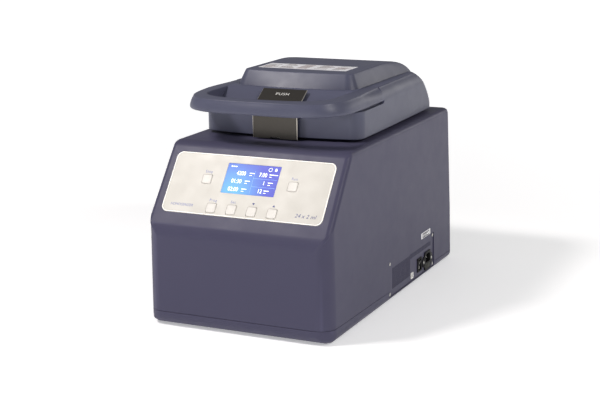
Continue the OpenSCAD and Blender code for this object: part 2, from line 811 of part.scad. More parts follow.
// Lid wall seen from above, moved inwards by inset: bowed front, round corners, tapered sides
function lid_outline(inset) = let (
    hw = lid_hw - inset,
    r = lid_corner - inset,
    rr = lid_rear_r - inset,
    front = lid_front + inset,
    flat = hw - r,
    corner_y = front + flat * flat / lid_bow + r)
  concat(
    [for (i = [0 : 12]) let (x = -flat * cos(i * 15)) [x, fy(front + x * x / lid_bow)]],
    arc_points(flat, fy(corner_y), r, -80, 0, 8),
    [[hw - lid_taper / 4, fy(365)]],
    arc_points(hw - lid_taper - rr, fy(lid_rear - inset - rr), rr, 0, 90, 8),
    arc_points(-(hw - lid_taper - rr), fy(lid_rear - inset - rr), rr, 90, 180, 8),
    [[-hw + lid_taper / 4, fy(365)]],
    arc_points(-flat, fy(corner_y), r, 180, 260, 8));

// Shoulder and handle seen from above: a superellipse in front, straight tapered sides behind
grip_power = 3.6;                 // squareness of the superellipse
grip_reach = 119;                 // depth of the superellipse's front half
function grip_outline(inset) = let (
    hw = grip_hw - inset,
    front = grip_front + inset,
    rr = lid_rear_r - inset / 2,
    hw_rear = hw - lid_taper - 1)
  concat(
    [for (i = [0 : 24]) let (a = 180 + i * 7.5)
      [hw * sign(cos(a)) * pow(abs(cos(a)), 2 / grip_power),
       fy(front + grip_reach * (1 - pow(abs(sin(a)), 2 / grip_power)))]],
    [[hw - 2, fy(365)]],
    arc_points(hw_rear - rr, fy(lid_rear - inset - rr), rr, 0, 90, 6),
    arc_points(-(hw_rear - rr), fy(lid_rear - inset - rr), rr, 90, 180, 6),
    [[-hw + 2, fy(365)]]);

shoulder_steps = 6;
shoulder_r = 13;                  // how far the shoulder curves inwards

// The smooth upper form that the lid's shoulder and the handle share, shrunk by inset
module shoulder_form(inset) {
  rise = ridge_z - arm_z;
  hull() for (i = [0 : shoulder_steps]) let (a = 90 * i / shoulder_steps)
    translate([0, 0, arm_z + (rise - inset) * sin(a)]) linear_extrude(eps)
      polygon(grip_outline(shoulder_r * (1 - cos(a)) + inset));
}

// Space behind the lid's rolled rear, moved forward and down by inset
module behind_lid(inset) {
  rise = ridge_z - roll_z;
  translate([-200, 0, 0]) rotate([90, 0, 90]) linear_extrude(400) polygon(concat(
    [for (i = [0 : roll_steps]) let (z = roll_z + rise * sin(90 * i / roll_steps))
      [fy(lid_rear_at(z) - inset), z - inset]],
    [[fy(lid_rear_at(ridge_z) - inset), ridge_z + 60], [fy(body_d), ridge_z + 60],
     [fy(body_d), roll_z - inset]]));
}

// Half space in front of the leaning shoulder behind the handle
module front_wedge(extra) {
  translate([-200, fy(lid_front + 2 + extra), arm_z - 2]) rotate([31, 0, 0])
    translate([0, -200, 0]) cube([400, 300, 100]);
}

arm_inner = 117;                  // half width between the handle's arms

// Raised cover seen from above: bowed front, round corners, sides that widen to the rear
function cover_outline(front, bow, hw_front, hw_rear, rear, r_front, r_rear) = let (
    flat = hw_front - r_front,
    corner_y = front + flat * flat / bow + r_front)
  concat(
    [for (i = [0 : 12]) let (x = -flat * cos(i * 15)) [x, fy(front + x * x / bow)]],
    arc_points(flat, fy(corner_y), r_front, -75, 0, 6),
    arc_points(hw_rear - r_rear, fy(rear - r_rear), r_rear, 0, 90, 6),
    arc_points(-(hw_rear - r_rear), fy(rear - r_rear), r_rear, 90, 180, 6),
    arc_points(-flat, fy(corner_y), r_front, 180, 255, 6));

cover_base = ridge_z - 12;        // level of the ledge that the cover sits on
cover_front = 213;                // depth of the cover's front edge at its base
cover_rear = 496;                 // depth of the cover's rear edge at its base
cover_roll = 118;                 // depth over which the cover's rear rolls down
cover_power = 2.35;               // fullness of that roll
cover_steps = 6;                  // slices of the cover's form

module lid_body() {
  difference() {
    union() {
      translate([0, 0, lid_z]) linear_extrude(arm_z - lid_z) polygon(lid_outline(0));
      intersection() {
        shoulder_form(0);
        translate([-200, fy(arm_end + 0.4), 0]) cube([400, 400, 600]);
      }
      difference() {
        intersection() {
          shoulder_form(0);
          translate([-arm_inner + 0.4, fy(lid_front), 0]) cube([2 * arm_inner - 0.8, 200, 600]);
        }
        front_wedge(0);
      }
    }
    // hollow inside, open up to the space under the raised cover
    behind_lid(0);
    difference() {
      translate([0, 0, lid_z - 10]) linear_extrude(arm_z - roof_t - lid_z + 10) polygon(lid_outline(wall));
      behind_lid(wall);
    }
    translate([-108, fy(lid_front + 42), arm_z - roof_t - 1]) cube([216, 256, roof_t + 3]);
    intersection() {
      shoulder_form(9);
      translate([-101, fy(lid_front + 62), arm_z - roof_t]) cube([202, 236, 60]);
    }
  }
}

// Places children at the four screws that hold the handle's arms from inside the lid
module at_arm_screws() {
  for (x = [-1, 1], d = [200, 250]) translate([x * 126, fy(d), arm_z]) children();
}

module lid_shell() {
  color(lid_colour) difference() {
    union() {
      lid_body();
      // cheeks that carry the latch pin
      for (x = [-1, 1])
        translate([x * 47 - 4, fy(lid_front + 1), latch_z - 8]) cube([8, 11, 13]);
    }
    // slot under the handle's arms
    translate([0, 0, arm_z - slot_h]) linear_extrude(slot_h + eps) difference() {
      for (x = [-200, arm_inner - 5])
        translate([x, fy(0)]) square([205 - arm_inner, arm_end - 1]);
      polygon(lid_outline(slot_depth));
    }
    // pocket of the raised cover, 1 mm wider than the cover
    cover_form(-1);
    // latch pocket and hook slot
    translate([-43, fy(lid_front - 20), latch_z - 10]) cube([86, 31, 60]);
    translate([-22, fy(lid_front - 20), lid_z - 10]) cube([44, 40, 20]);
    translate([-pin_l / 2, fy(latch_y), latch_z]) rotate([0, 90, 0])
      cylinder(r = pin_r, h = pin_l, $fn = curve);
    at_arm_screws() translate([0, 0, -12]) cylinder(r = 2.2, h = 30, $fn = curve);
  }
}

// The raised cover's outer form, shrunk by inset: sides and front lean in, the rear rolls down
module cover_form(inset) {
  rise = cover_z - cover_base - inset;
  hull() for (i = [0 : cover_steps]) let (t = sin(90 * i / cover_steps))
    translate([0, 0, cover_base + rise * t - (i == 0 ? 0 : eps)]) linear_extrude(eps)
      polygon(cover_outline(cover_front + 24 * t + inset, 700 + 800 * t,
        109 - 10 * t - inset, 119 - 19 * t - inset,
        cover_rear - inset - cover_roll * (1 - pow(max(0, 1 - pow(t, cover_power)), 1 / cover_power)),
        26 - 13 * t - inset, 16 - 6 * t - inset / 2));
}

module lid_cover() {
  color(lid_colour) difference() {
    cover_form(0);
    translate([0, 0, -0.5]) cover_form(3);
  }
}

label_w = 166;                    // width of the label strip on the cover
label_l = 55;                     // its size from front to rear

module lid_label() {
  color([0.9, 0.88, 0.86]) translate([-4.5, fy(298), cover_z]) linear_extrude(0.3)
    round_rect(label_w, label_l, 1.5);
}

module handle_bail() {
  color(lid_colour) difference() {
    intersection() {
      shoulder_form(0);
      translate([-200, fy(0), 0]) cube([400, arm_end, 600]);
    }
    // finger opening and the space between the arms
    translate([0, 0, arm_z - 20]) linear_extrude(80) polygon(concat(
      [for (i = [0 : 16]) let (a = 180 + i * 11.25)
        [arm_inner * sign(cos(a)) * pow(abs(cos(a)), 2 / 2.6),
         fy(grip_inner + 58 * (1 - pow(abs(sin(a)), 2 / 2.6)))]],
      [[arm_inner, fy(arm_end + 20)], [-arm_inner, fy(arm_end + 20)]]));
    // the top falls a little towards the front
    translate([-200, fy(arm_end), ridge_z + eps]) rotate([1.6, 0, 0])
      translate([0, -300, 0]) cube([400, 300, 60]);
    at_arm_screws() translate([0, 0, -1]) cylinder(r = 2, h = 12, $fn = curve);
  }
}

module handle_screws() {
  color(steel) at_arm_screws() {
    translate([0, 0, -roof_t - 3]) cylinder(r = 4, h = 3, $fn = curve);
    translate([0, 0, -roof_t]) cylinder(r = 2, h = roof_t + 10, $fn = curve);
  }
}

latch_w = 82;                     // width of the latch strap
latch_t = 1.5;                    // thickness of the latch sheet
strap_y = 155.5;                  // depth of the strap's front face
strap_z = body_h + 2;             // level just below the strap's lower edge
latch_y = 168;                    // depth of the latch pin
latch_z = 338;                    // height of the latch pin
pin_r = 2;                        // radius of the latch pin
pin_l = 92;                       // length of the latch pin
push_angle = 33;                  // lean of the push plate
push_len = 47;                    // length of the push plate

module latch_strap() {
  color([0.45, 0.43, 0.40]) difference() {
    union() {
      translate([-latch_w / 2, fy(strap_y), strap_z + 0.2]) cube([latch_w, latch_t, arm_z - 1 - strap_z]);
      translate([-latch_w / 2, fy(strap_y), arm_z - 1]) rotate([push_angle, 0, 0])
        translate([0, 0, -latch_t]) cube([latch_w, push_len, latch_t]);
      for (x = [-latch_w / 2, latch_w / 2 - latch_t])
        translate([x, fy(strap_y), latch_z - 6]) cube([latch_t, 17, 12]);
      // inner hook
      translate([-16, fy(strap_y), strap_z + 2.5]) cube([32, 14, 2.5]);
    }
    translate([-latch_w, fy(latch_y), latch_z]) rotate([0, 90, 0])
      cylinder(r = pin_r + 0.05, h = 2 * latch_w, $fn = curve);
    translate([-9, fy(strap_y - 5), strap_z - 1]) cube([18, 10, 2.4]);
  }
}

module latch_pin() {
  color(steel) translate([-pin_l / 2, fy(latch_y), latch_z]) rotate([0, 90, 0])
    cylinder(r = pin_r, h = pin_l, $fn = curve);
}

module latch_spring() {
  color(steel) translate([0, fy(latch_y), latch_z]) rotate([0, 90, 0]) for (i = [-4 : 4])
    translate([0, 0, i * 1.5]) rotate_extrude($fn = curve) translate([3.2, 0]) circle(r = 0.6, $fn = curve);
}

module latch_striker() {
  color(steel) {
    translate([-14, fy(172), body_h]) cube([28, 20, 1.5]);
    translate([-8, fy(177), body_h]) cube([16, 5, 13]);
    translate([-8, fy(170), body_h + 8.5]) cube([16, 12, 4.5]);
  }
}

liner_r = 104;                    // radius of the dome over the tube holder
liner_top = 346;                  // height of the dome's ceiling

module lid_liner() {
  color([0.85, 0.85, 0.86]) difference() {
    union() {
      translate([0, 0, lid_z + 1.5]) linear_extrude(3) polygon(lid_outline(wall + 0.5));
      at_chamber(lid_z + 1.5) cylinder(r = liner_r + 2, h = liner_top + 2 - lid_z - 1.5, $fn = curve);
    }
    at_chamber(lid_z - 5) cylinder(r = liner_r, h = liner_top - lid_z + 5, $fn = curve);
    translate([-24, fy(lid_front), lid_z - 5]) cube([48, 26, 30]);
  }
}

module lid_gasket() {
  color(dark) at_chamber(body_h + 1.3) difference() {
    cylinder(r = 124, h = lid_z + 1.5 - body_h - 1.3, $fn = curve);
    translate([0, 0, -1]) cylinder(r = 117, h = 10, $fn = curve);
  }
}

hinge_y = 549;                    // depth of the hinge axis
hinge_z = 300;                    // height of the hinge axis
hinge_r = 5.5;                    // radius of the hinge knuckles

module x_rod(x0, x1, r) {
  translate([x0, fy(hinge_y), hinge_z]) rotate([0, 90, 0]) cylinder(r = r, h = x1 - x0, $fn = curve);
}

module hinge_brackets() {
  color(steel) for (s = [0, 1]) mirror([s, 0, 0]) difference() {
    union() {
      x_rod(60, 72, hinge_r);
      x_rod(98, 110, hinge_r);
      for (x = [60, 98]) translate([x, fy(545), body_h]) cube([12, 8, hinge_z - body_h]);
      translate([58, fy(544.5), body_h]) cube([54, 12, 1.2]);
    }
    x_rod(50, 120, 3);
  }
}

module hinge_knuckles() {
  color(steel) for (s = [0, 1]) mirror([s, 0, 0]) difference() {
    union() {
      x_rod(72.4, 97.6, hinge_r);
      translate([72.4, fy(lid_rear), hinge_z]) cube([25.2, hinge_y - lid_rear, 5.5]);
      translate([72.4, fy(lid_rear), hinge_z]) cube([25.2, 2, 7]);
    }
    x_rod(50, 120, 3.05);
  }
}

module hinge_pins() {
  color(steel) for (s = [0, 1]) mirror([s, 0, 0]) x_rod(58, 112, 3);
}

body_shell();
base_pan();
rubber_feet();
panel_fascia();
display_window();
display_module();
control_board();
key_stop();
key_run();
key_program();
key_set();
key_down();
key_up();
service_plate();
service_screws();
power_inlet();
inlet_screws();
fuse_drawer();
line_fuse();
rocker_frame();
power_rocker();
usb_port();
rating_label();
chassis_frame();
isolator_mounts();
drive_plate();
motor_body();
bearing_housing();
shaft_bearings();
drive_shaft();
counterweight();
hub_bearing();
holder_hub();
tube_disc();
clamp_plate();
clamp_knob();
chamber_bowl();
chamber_boot();
bowl_insulation();
evaporator_coil();
compressor();
condenser();
fan_frame();
fan_rotor();
power_supply();
drive_board();
lid_shell();
lid_cover();
lid_label();
handle_bail();
handle_screws();
latch_strap();
latch_pin();
latch_spring();
latch_striker();
lid_liner();
lid_gasket();
hinge_brackets();
hinge_knuckles();
hinge_pins();
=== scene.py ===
"""Looks of the refrigerated bead mill homogeniser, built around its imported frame.

Shapes are written in millimetres as (x, depth, height): x across, depth behind the
housing's front face, height above the bench. place() turns them into the row frame.
"""

import json
import math

import bmesh
import bpy
from mathutils import Matrix, Vector
from mathutils.geometry import tessellate_polygon


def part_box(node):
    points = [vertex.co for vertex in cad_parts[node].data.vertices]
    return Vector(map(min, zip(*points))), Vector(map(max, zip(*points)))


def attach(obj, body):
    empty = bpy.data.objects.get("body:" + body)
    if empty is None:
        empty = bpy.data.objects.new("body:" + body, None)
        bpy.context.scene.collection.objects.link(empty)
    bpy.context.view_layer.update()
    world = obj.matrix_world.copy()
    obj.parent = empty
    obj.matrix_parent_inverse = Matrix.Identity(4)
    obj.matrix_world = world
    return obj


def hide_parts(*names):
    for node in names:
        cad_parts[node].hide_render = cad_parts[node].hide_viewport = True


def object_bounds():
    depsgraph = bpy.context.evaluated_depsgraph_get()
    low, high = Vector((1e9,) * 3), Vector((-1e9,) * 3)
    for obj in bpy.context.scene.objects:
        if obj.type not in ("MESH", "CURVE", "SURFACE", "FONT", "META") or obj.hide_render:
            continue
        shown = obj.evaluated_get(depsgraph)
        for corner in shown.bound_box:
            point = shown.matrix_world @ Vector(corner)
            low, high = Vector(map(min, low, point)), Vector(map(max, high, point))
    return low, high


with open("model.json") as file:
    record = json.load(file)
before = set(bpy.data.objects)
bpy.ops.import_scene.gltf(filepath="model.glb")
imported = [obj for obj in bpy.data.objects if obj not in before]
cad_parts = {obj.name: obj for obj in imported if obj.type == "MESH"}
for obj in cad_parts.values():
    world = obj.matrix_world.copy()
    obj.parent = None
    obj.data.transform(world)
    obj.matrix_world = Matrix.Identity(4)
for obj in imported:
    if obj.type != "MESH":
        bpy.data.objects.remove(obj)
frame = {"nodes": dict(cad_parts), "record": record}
cad_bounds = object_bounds()

# ---------------------------------------------------------------- sizes from the frame

MM = 0.001
FRONT_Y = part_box("base_pan")[0].y


def box_mm(node):
    """A CAD node's corners in millimetres, with y as depth behind the housing's front."""
    return [Vector((c.x, c.y - FRONT_Y, c.z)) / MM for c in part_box(node)]


PAN_LOW, PAN_HIGH = box_mm("base_pan")
COVER_LOW, COVER_HIGH = box_mm("lid_cover")
GRIP_LOW, GRIP_HIGH = box_mm("handle_bail")

BODY_DEPTH = PAN_HIGH.y
BODY_BOTTOM = PAN_LOW.z
BODY_TOP = box_mm("body_shell")[1].z
FOOT_HALF_W = PAN_HIGH.x
SIDE_DRAFT = math.radians(0.9)
WALL = 4
FOLD_Z = 163.5
SLOPE_RUN = 100
SLOPE = math.atan2(BODY_TOP - FOLD_Z, SLOPE_RUN)
REAR_LEAN = 8
REAR_KNEE_Z = 100
FOOT_ROUND = 12
FOOT_X = 120
FOOT_DEPTHS = (60, 510)
SEAM_FRONT = 25
SEAM_REAR = 16

PANEL_START = 33.5
PANEL_W = 288
PANEL_L = 109
PANEL_R = 11
SCREEN_AT = (2, 68.4)
SCREEN_W = 95
SCREEN_H = 53.5
KEY_SIZE = 16.4
KEYS = {
    "key_stop": (-76.6, 62.9),
    "key_run": (78, 62.3),
    "key_program": (-54, 12.8),
    "key_set": (-17.7, 12.8),
    "key_down": (18.6, 12.8),
    "key_up": (55, 12.8),
}

SERVICE_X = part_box("service_plate")[1].x / MM
SERVICE_AT = (362, 42)
SERVICE_W = 224
SERVICE_H = 64
INLET_AT = (441, 28.5)
DRAWER_AT = (INLET_AT[0], INLET_AT[1] - 10.5)
ROCKER_AT = (401, 30)
USB_AT = (364, 19.5)

LID_Z = box_mm("lid_shell")[0].z
LID_HALF_W = 145
LID_FRONT = 164
LID_REAR = 542
LID_BOW = 1450
LID_TAPER = 5
LID_REAR_R = 32
LID_ROLL = 66
ROLL_Z = LID_Z + 10
ROLL_POWER = 1.3
LID_ROOF = 6
SLOT_H = 3.5
SLOT_DEPTH = 6
ARM_Z = GRIP_LOW.z
RIDGE_Z = GRIP_HIGH.z
ARM_END = GRIP_HIGH.y
GRIP_HALF_W = 146
GRIP_FRONT = GRIP_LOW.y
GRIP_REACH = 119
GRIP_POWER = 3.6
SHOULDER_R = 13
COVER_BASE = COVER_LOW.z
COVER_Z = COVER_HIGH.z
COVER_FRONT = COVER_LOW.y
COVER_REAR = COVER_HIGH.y
COVER_ROLL = 118
COVER_POWER = 2.35
CHAMBER_D = 352
TILT = math.radians(4)
TILT_CENTRE_Z = 268


def place(x, depth, z):
    return Vector((x * MM, FRONT_Y + depth * MM, z * MM))


def on_panel(u, v, w):
    """u across the control panel, v up the slope from the panel's lower edge, w outwards."""
    along = PANEL_START + v
    depth = along * math.cos(SLOPE) - w * math.sin(SLOPE)
    height = FOLD_Z + along * math.sin(SLOPE) + w * math.cos(SLOPE)
    return place(u, depth, height)


def on_service(a, b, w):
    """a is depth, b height, w outwards from the service plate's face."""
    return place(SERVICE_X + w, a, b)


def half_width(z):
    """Half width of the housing at height z, which narrows upwards."""
    return FOOT_HALF_W - (z - BODY_BOTTOM - FOOT_ROUND) * math.tan(SIDE_DRAFT)


def rearward(x, z, depth):
    """place() for outlines drawn on a wall seen from the front."""
    return place(x, depth, z)


def sideways(depth, z, x):
    """place() for outlines drawn on a wall seen from the side."""
    return place(x, depth, z)


# ---------------------------------------------------------------- mesh tools


def lerp(a, b, t):
    return a + (b - a) * t


def arc(cx, cy, r, start, end, steps):
    """Points along an arc, angles in degrees, both ends included."""
    found = []
    for i in range(steps + 1):
        angle = math.radians(lerp(start, end, i / steps))
        found.append((cx + r * math.cos(angle), cy + r * math.sin(angle)))
    return found


def round_rect(w, h, r, steps=8):
    """Rounded rectangle about the origin, counter-clockwise."""
    r = max(r, 0.01)
    x, y = w / 2 - r, h / 2 - r
    return (
        arc(x, y, r, 0, 90, steps)
        + arc(-x, y, r, 90, 180, steps)
        + arc(-x, -y, r, 180, 270, steps)
        + arc(x, -y, r, 270, 360, steps)
    )


def circle(r, steps=48):
    return [
        (r * math.cos(2 * math.pi * i / steps), r * math.sin(2 * math.pi * i / steps))
        for i in range(steps)
    ]


def shifted(points, dx, dy):
    return [(x + dx, y + dy) for x, y in points]


def rounded(w, h, r, at, steps=3, shrink=True, least=0.01):
    """Rounded rectangle about a point, as a function of the inset from its edge."""

    def outline(inset):
        radius = max(r - inset, least) if shrink else r
        return shifted(round_rect(w - 2 * inset, h - 2 * inset, radius, steps), *at)

    return outline


def disc(r, at=(0, 0), steps=48):
    """Circle about a point, as a function of the inset from its edge."""
    return lambda inset: shifted(circle(r - inset, steps), *at)


def quarter(steps, first=1):
    """Steps of a quarter turn, as pairs of (1 - cosine, sine)."""
    turns = (math.pi / 2 * i / steps for i in range(first, steps + 1))
    return [(1 - math.cos(a), math.sin(a)) for a in turns]


def link_object(name, data):
    """New object in the scene that shows the data."""
    made = bpy.data.objects.new(name, data)
    bpy.context.scene.collection.objects.link(made)
    return made


class Shape:
    """Collects vertices in metres and faces, each with a material number."""

    def __init__(self):
        self.verts = []
        self.faces = []
        self.marks = []

    def ring(self, points):
        start = len(self.verts)
        self.verts.extend(points)
        return list(range(start, len(self.verts)))

    def face(self, corners, mark=0):
        self.faces.append(tuple(corners))
        self.marks.append(mark)

    def bridge(self, a, b, mark=0, closed=True):
        count = len(a)
        for i in range(count if closed else count - 1):
            j = (i + 1) % count
            self.face((a[i], a[j], b[j], b[i]), mark)

    def loft(self, rings, mark=0):
        """Skins closed rings of equal length and closes the two ends."""
        made = [self.ring(points) for points in rings]
        for a, b in zip(made, made[1:]):
            self.bridge(a, b, mark)
        self.face(reversed(made[0]), mark)
        self.face(made[-1], mark)

    def fill(self, outlines, flat, mark=0, up=True):
        """Fills between an outer ring and hole rings; flat holds their 2-D outlines."""
        corners = [index for ring in outlines for index in ring]
        points = [[Vector((x, y, 0)) for x, y in outline] for outline in flat]
        together = [p for outline in points for p in outline]
        for triangle in tessellate_polygon(points):
            a, b, c = (together[i] for i in triangle)
            turned = (b - a).cross(c - a).z > 0
            chosen = triangle if turned == up else tuple(reversed(triangle))
            self.face([corners[i] for i in chosen], mark)

    def plate(self, outer, holes, z0, z1, to_world, edge=0.5, under=0.0, mark=0, steps=3):
        """Flat plate with rounded edges. outer and holes map an inset to a 2-D outline."""
        bends = quarter(steps, 0)
        levels = [(under * (1 - s), z0 + under * c) for c, s in bends] if under else [(0, z0)]
        levels += [(edge * c, z1 - edge * (1 - s)) for c, s in bends] if edge else [(0, z1)]
        first, last = [], []
        flat_first, flat_last = [], []
        for number, outline in enumerate([outer] + list(holes)):
            sign = 1 if number == 0 else -1
            rings = []
            for inset, z in levels:
                flat = outline(sign * inset)
                rings.append((self.ring([to_world(x, y, z) for x, y in flat]), flat))
            for (a, _), (b, _) in zip(rings, rings[1:]):
                if number == 0:
                    self.bridge(a, b, mark)
                else:
                    self.bridge(b, a, mark)
            first.append(rings[0][0])
            last.append(rings[-1][0])
            flat_first.append(rings[0][1])
            flat_last.append(rings[-1][1])
        self.fill(first, flat_first, mark, up=False)
        self.fill(last, flat_last, mark, up=True)

    def lathe(self, profile, to_world, steps=64, mark=0):
        """Turns a closed (radius, height) profile around the local z axis."""
        rings = []
        for i in range(steps):
            angle = 2 * math.pi * i / steps
            turned = [
                to_world(r * math.cos(angle), r * math.sin(angle), z) for r, z in profile
            ]
            rings.append(self.ring(turned))
        for i in range(steps):
            self.bridge(rings[(i + 1) % steps], rings[i], mark)

    def build(self, name, materials=(), sharp=35):
        """Makes the object, with smooth shading up to the given angle."""
        mesh = bpy.data.meshes.new(name)
        mesh.from_pydata([tuple(v) for v in self.verts], [], self.faces)
        for material in materials:
            mesh.materials.append(material)
        mesh.polygons.foreach_set("material_index", self.marks)
        made = link_object(name, mesh)
        outward(made)
        smooth(made, sharp)
        return made

    def piece(self, name, body, slot, *nodes, materials=None, sharp=35):
        """Builds and finishes a piece, in its slot's material unless others are given."""
        made = self.build(name, materials or [MATERIALS[slot]], sharp)
        finish_piece(made, body, slot, *nodes)


def outward(obj):
    """Welds the seams and turns the faces of a closed mesh outwards."""
    work = bmesh.new()
    work.from_mesh(obj.data)
    bmesh.ops.remove_doubles(work, verts=work.verts, dist=1e-6)
    bmesh.ops.recalc_face_normals(work, faces=work.faces)
    work.to_mesh(obj.data)
    work.free()


def smooth(obj, angle):
    obj.data.shade_smooth()
    obj.data.set_sharp_from_angle(angle=math.radians(angle))


def even_normals(obj):
    """Keeps wide flat faces flat in the shading beside their rounded edges."""
    step = obj.modifiers.new("normals", "WEIGHTED_NORMAL")
    step.weight = 100
    step.keep_sharp = True
    apply_modifiers(obj)


def apply_modifiers(obj):
    """Replaces the mesh with what its modifiers make of it."""
    bpy.context.view_layer.update()
    graph = bpy.context.evaluated_depsgraph_get()
    made = bpy.data.meshes.new_from_object(obj.evaluated_get(graph))
    obj.modifiers.clear()
    old = obj.data
    obj.data = made
    bpy.data.meshes.remove(old)


def combine(target, tools, operation):
    """Boolean of a mesh with tool meshes, which are used up."""
    for tool in tools:
        step = target.modifiers.new("combine", "BOOLEAN")
        step.operation = operation
        step.solver = "EXACT"
        step.object = tool
    apply_modifiers(target)
    for tool in tools:
        bpy.data.objects.remove(tool)


def soften(obj, width, segments=2, angle=40):
    """Small rounded edge wherever faces meet at more than the angle."""
    step = obj.modifiers.new("soften", "BEVEL")
    step.width = width * MM
    step.segments = segments
    step.limit_method = "ANGLE"
    step.angle_limit = math.radians(angle)
    step.use_clamp_overlap = True
    apply_modifiers(obj)


def lofted(name, rings):
    shape = Shape()
    shape.loft(rings)
    return shape.build(name)


def prism(name, outline, to_world, low, high):
    """Cutting block: a flat outline drawn out between two levels."""
    return lofted(name, [[to_world(x, y, level) for x, y in outline] for level in (low, high)])


def block(name, low, high):
    """Plain cutting block from one corner to the other, in millimetres."""
    outline = [(low[0], low[1]), (high[0], low[1]), (high[0], high[1]), (low[0], high[1])]
    return prism(name, outline, place, low[2], high[2])


def slab(name, outline, to_world, low, high, edge=0.0, materials=(), sharp=50):
    """Plate without holes, as an object of its own."""
    shape = Shape()
    shape.plate(outline, [], low, high, to_world, edge=edge)
    return shape.build(name, materials, sharp)


def finish_piece(obj, body, slot, *nodes):
    """Puts a finished piece on its body, and hides the CAD nodes that it stands for."""
    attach(obj, body)
    if nodes:
        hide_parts(*nodes)


# ---------------------------------------------------------------- materials


class Recipe:
    """A node material with a principled shader and short ways to add detail."""

    def __init__(self, name, color, roughness, metallic=0.0):
        self.color = color
        self.roughness = roughness
        self.material = bpy.data.materials.new(name)
        self.material.use_nodes = True
        self.material.diffuse_color = (*color, 1)
        self.tree = self.material.node_tree
        self.inputs = self.tree.nodes["Principled BSDF"].inputs
        self.set(Base_Color=(*color, 1), Roughness=roughness, Metallic=metallic)
        self.coords = self.tree.nodes.new("ShaderNodeTexCoord").outputs["Object"]

    def set(self, **values):
        """Sets inputs of the shader, with _ for each space in their names."""
        for key, value in values.items():
            self.inputs[key.replace("_", " ")].default_value = value

    def node(self, kind, **inputs):
        made = self.tree.nodes.new(kind)
        for key, value in inputs.items():
            made.inputs[key.replace("_", " ")].default_value = value
        return made

    def link(self, output, target):
        self.tree.links.new(output, target)

    def moved(self, **values):
        """Object coordinates through a mapping node."""
        mapping = self.node("ShaderNodeMapping", **values)
        self.link(self.coords, mapping.inputs["Vector"])
        return mapping.outputs["Vector"]

    def noise(self, scale, detail=3.0, rough=0.5, stretch=(1, 1, 1)):
        """Noise with its scale in cells per metre, stretched along the given axes."""
        made = self.node("ShaderNodeTexNoise", Scale=scale, Detail=detail, Roughness=rough)
        self.link(self.moved(Scale=stretch), made.inputs["Vector"])
        return made.outputs["Fac"]

    def cells(self, scale):
        made = self.node("ShaderNodeTexVoronoi", Scale=scale)
        self.link(self.coords, made.inputs["Vector"])
        return made.outputs["Distance"]

    def length(self, vector):
        made = self.node("ShaderNodeVectorMath")
        made.operation = "LENGTH"
        self.link(vector, made.inputs[0])
        return made.outputs["Value"]

    def ramp(self, value, low, high, start=0.3, end=0.7):
        """Maps a value between start and end to numbers between low and high."""
        made = self.node("ShaderNodeMapRange", From_Min=start, From_Max=end, To_Min=low, To_Max=high)
        self.link(value, made.inputs["Value"])
        return made.outputs["Result"]

    def mix(self, factor, first, second):
        """Colour between two, each given as a colour or as a node's output."""
        made = self.node("ShaderNodeMix")
        made.data_type = "RGBA"
        sockets = {socket.identifier: socket for socket in made.inputs}
        for key, color in (("A_Color", first), ("B_Color", second)):
            if isinstance(color, tuple):
                sockets[key].default_value = (*color, 1)
            else:
                self.link(color, sockets[key])
        self.link(factor, made.inputs["Factor"])
        return next(o for o in made.outputs if o.identifier == "Result_Color")

    def color_from(self, output):
        self.link(output, self.inputs["Base Color"])

    def roughness_from(self, output):
        self.link(output, self.inputs["Roughness"])

    def tint(self, value, low, high):
        """Colour between two multiples of the recipe's own by a value."""
        self.color_from(self.mix(value, shade(self.color, low), shade(self.color, high)))

    def cloud(self, low, high, *noise):
        self.tint(self.noise(*noise), low, high)

    def gloss(self, low, high, *noise):
        """Uneven roughness, between two offsets from the recipe's own."""
        ends = self.roughness + low, self.roughness + high
        self.roughness_from(self.ramp(self.noise(*noise), *ends))

    def bump(self, value, strength, distance):
        """Adds fine relief; distance in metres."""
        made = self.node("ShaderNodeBump", Strength=strength, Distance=distance)
        if self.inputs["Normal"].links:
            self.link(self.inputs["Normal"].links[0].from_socket, made.inputs["Normal"])
        self.link(value, made.inputs["Height"])
        self.link(made.outputs["Normal"], self.inputs["Normal"])

    def grain(self, strength, distance, *noise):
        self.bump(self.noise(*noise), strength, distance)

    def painted_edge_highlight(self, color, amount):
        """Painted highlight: lightens convex edges a little."""
        geometry = self.node("ShaderNodeNewGeometry")
        edge = self.ramp(geometry.outputs["Pointiness"], 0, amount, 0.53, 0.62)
        base = self.inputs["Base Color"].links[0].from_socket
        self.color_from(self.mix(edge, base, color))

    def glow(self, output, strength):
        """Lights the surface with a colour output."""
        self.color_from(output)
        self.link(output, self.inputs["Emission Color"])
        self.set(Emission_Strength=strength)


def shade(color, factor):
    return tuple(min(1.0, c * factor) for c in color)


def moulded(name, color, roughness=0.42, ior=1.26):
    """Satin moulded plastic: spark-eroded grain, faint clouding, uneven gloss, painted highlights on convex
    edges.
    """
    recipe = Recipe(name, color, roughness)
    recipe.cloud(0.97, 1.03, 16, 5, 0.6)
    recipe.gloss(-0.03, 0.04, 34, 5, 0.6)
    recipe.grain(0.16, 0.0001, 900, 2, 0.6)
    recipe.grain(0.08, 0.00015, 225, 3, 0.5)
    # painted highlight on convex edges, mixed towards 1.6 times the colour
    recipe.painted_edge_highlight(shade(color, 1.6), 0.35)
    recipe.set(IOR=ior)
    return recipe.material


def fine_plastic(name, color, roughness=0.35, grain=1500, ior=1.45):
    """Smooth plastic with a very fine grain and faint uneven gloss."""
    recipe = Recipe(name, color, roughness)
    recipe.cloud(0.98, 1.02, 14, 3)
    recipe.gloss(-0.04, 0.05, 40, 4)
    recipe.grain(0.08, 0.00008, grain, 2)
    recipe.set(IOR=ior)
    return recipe.material


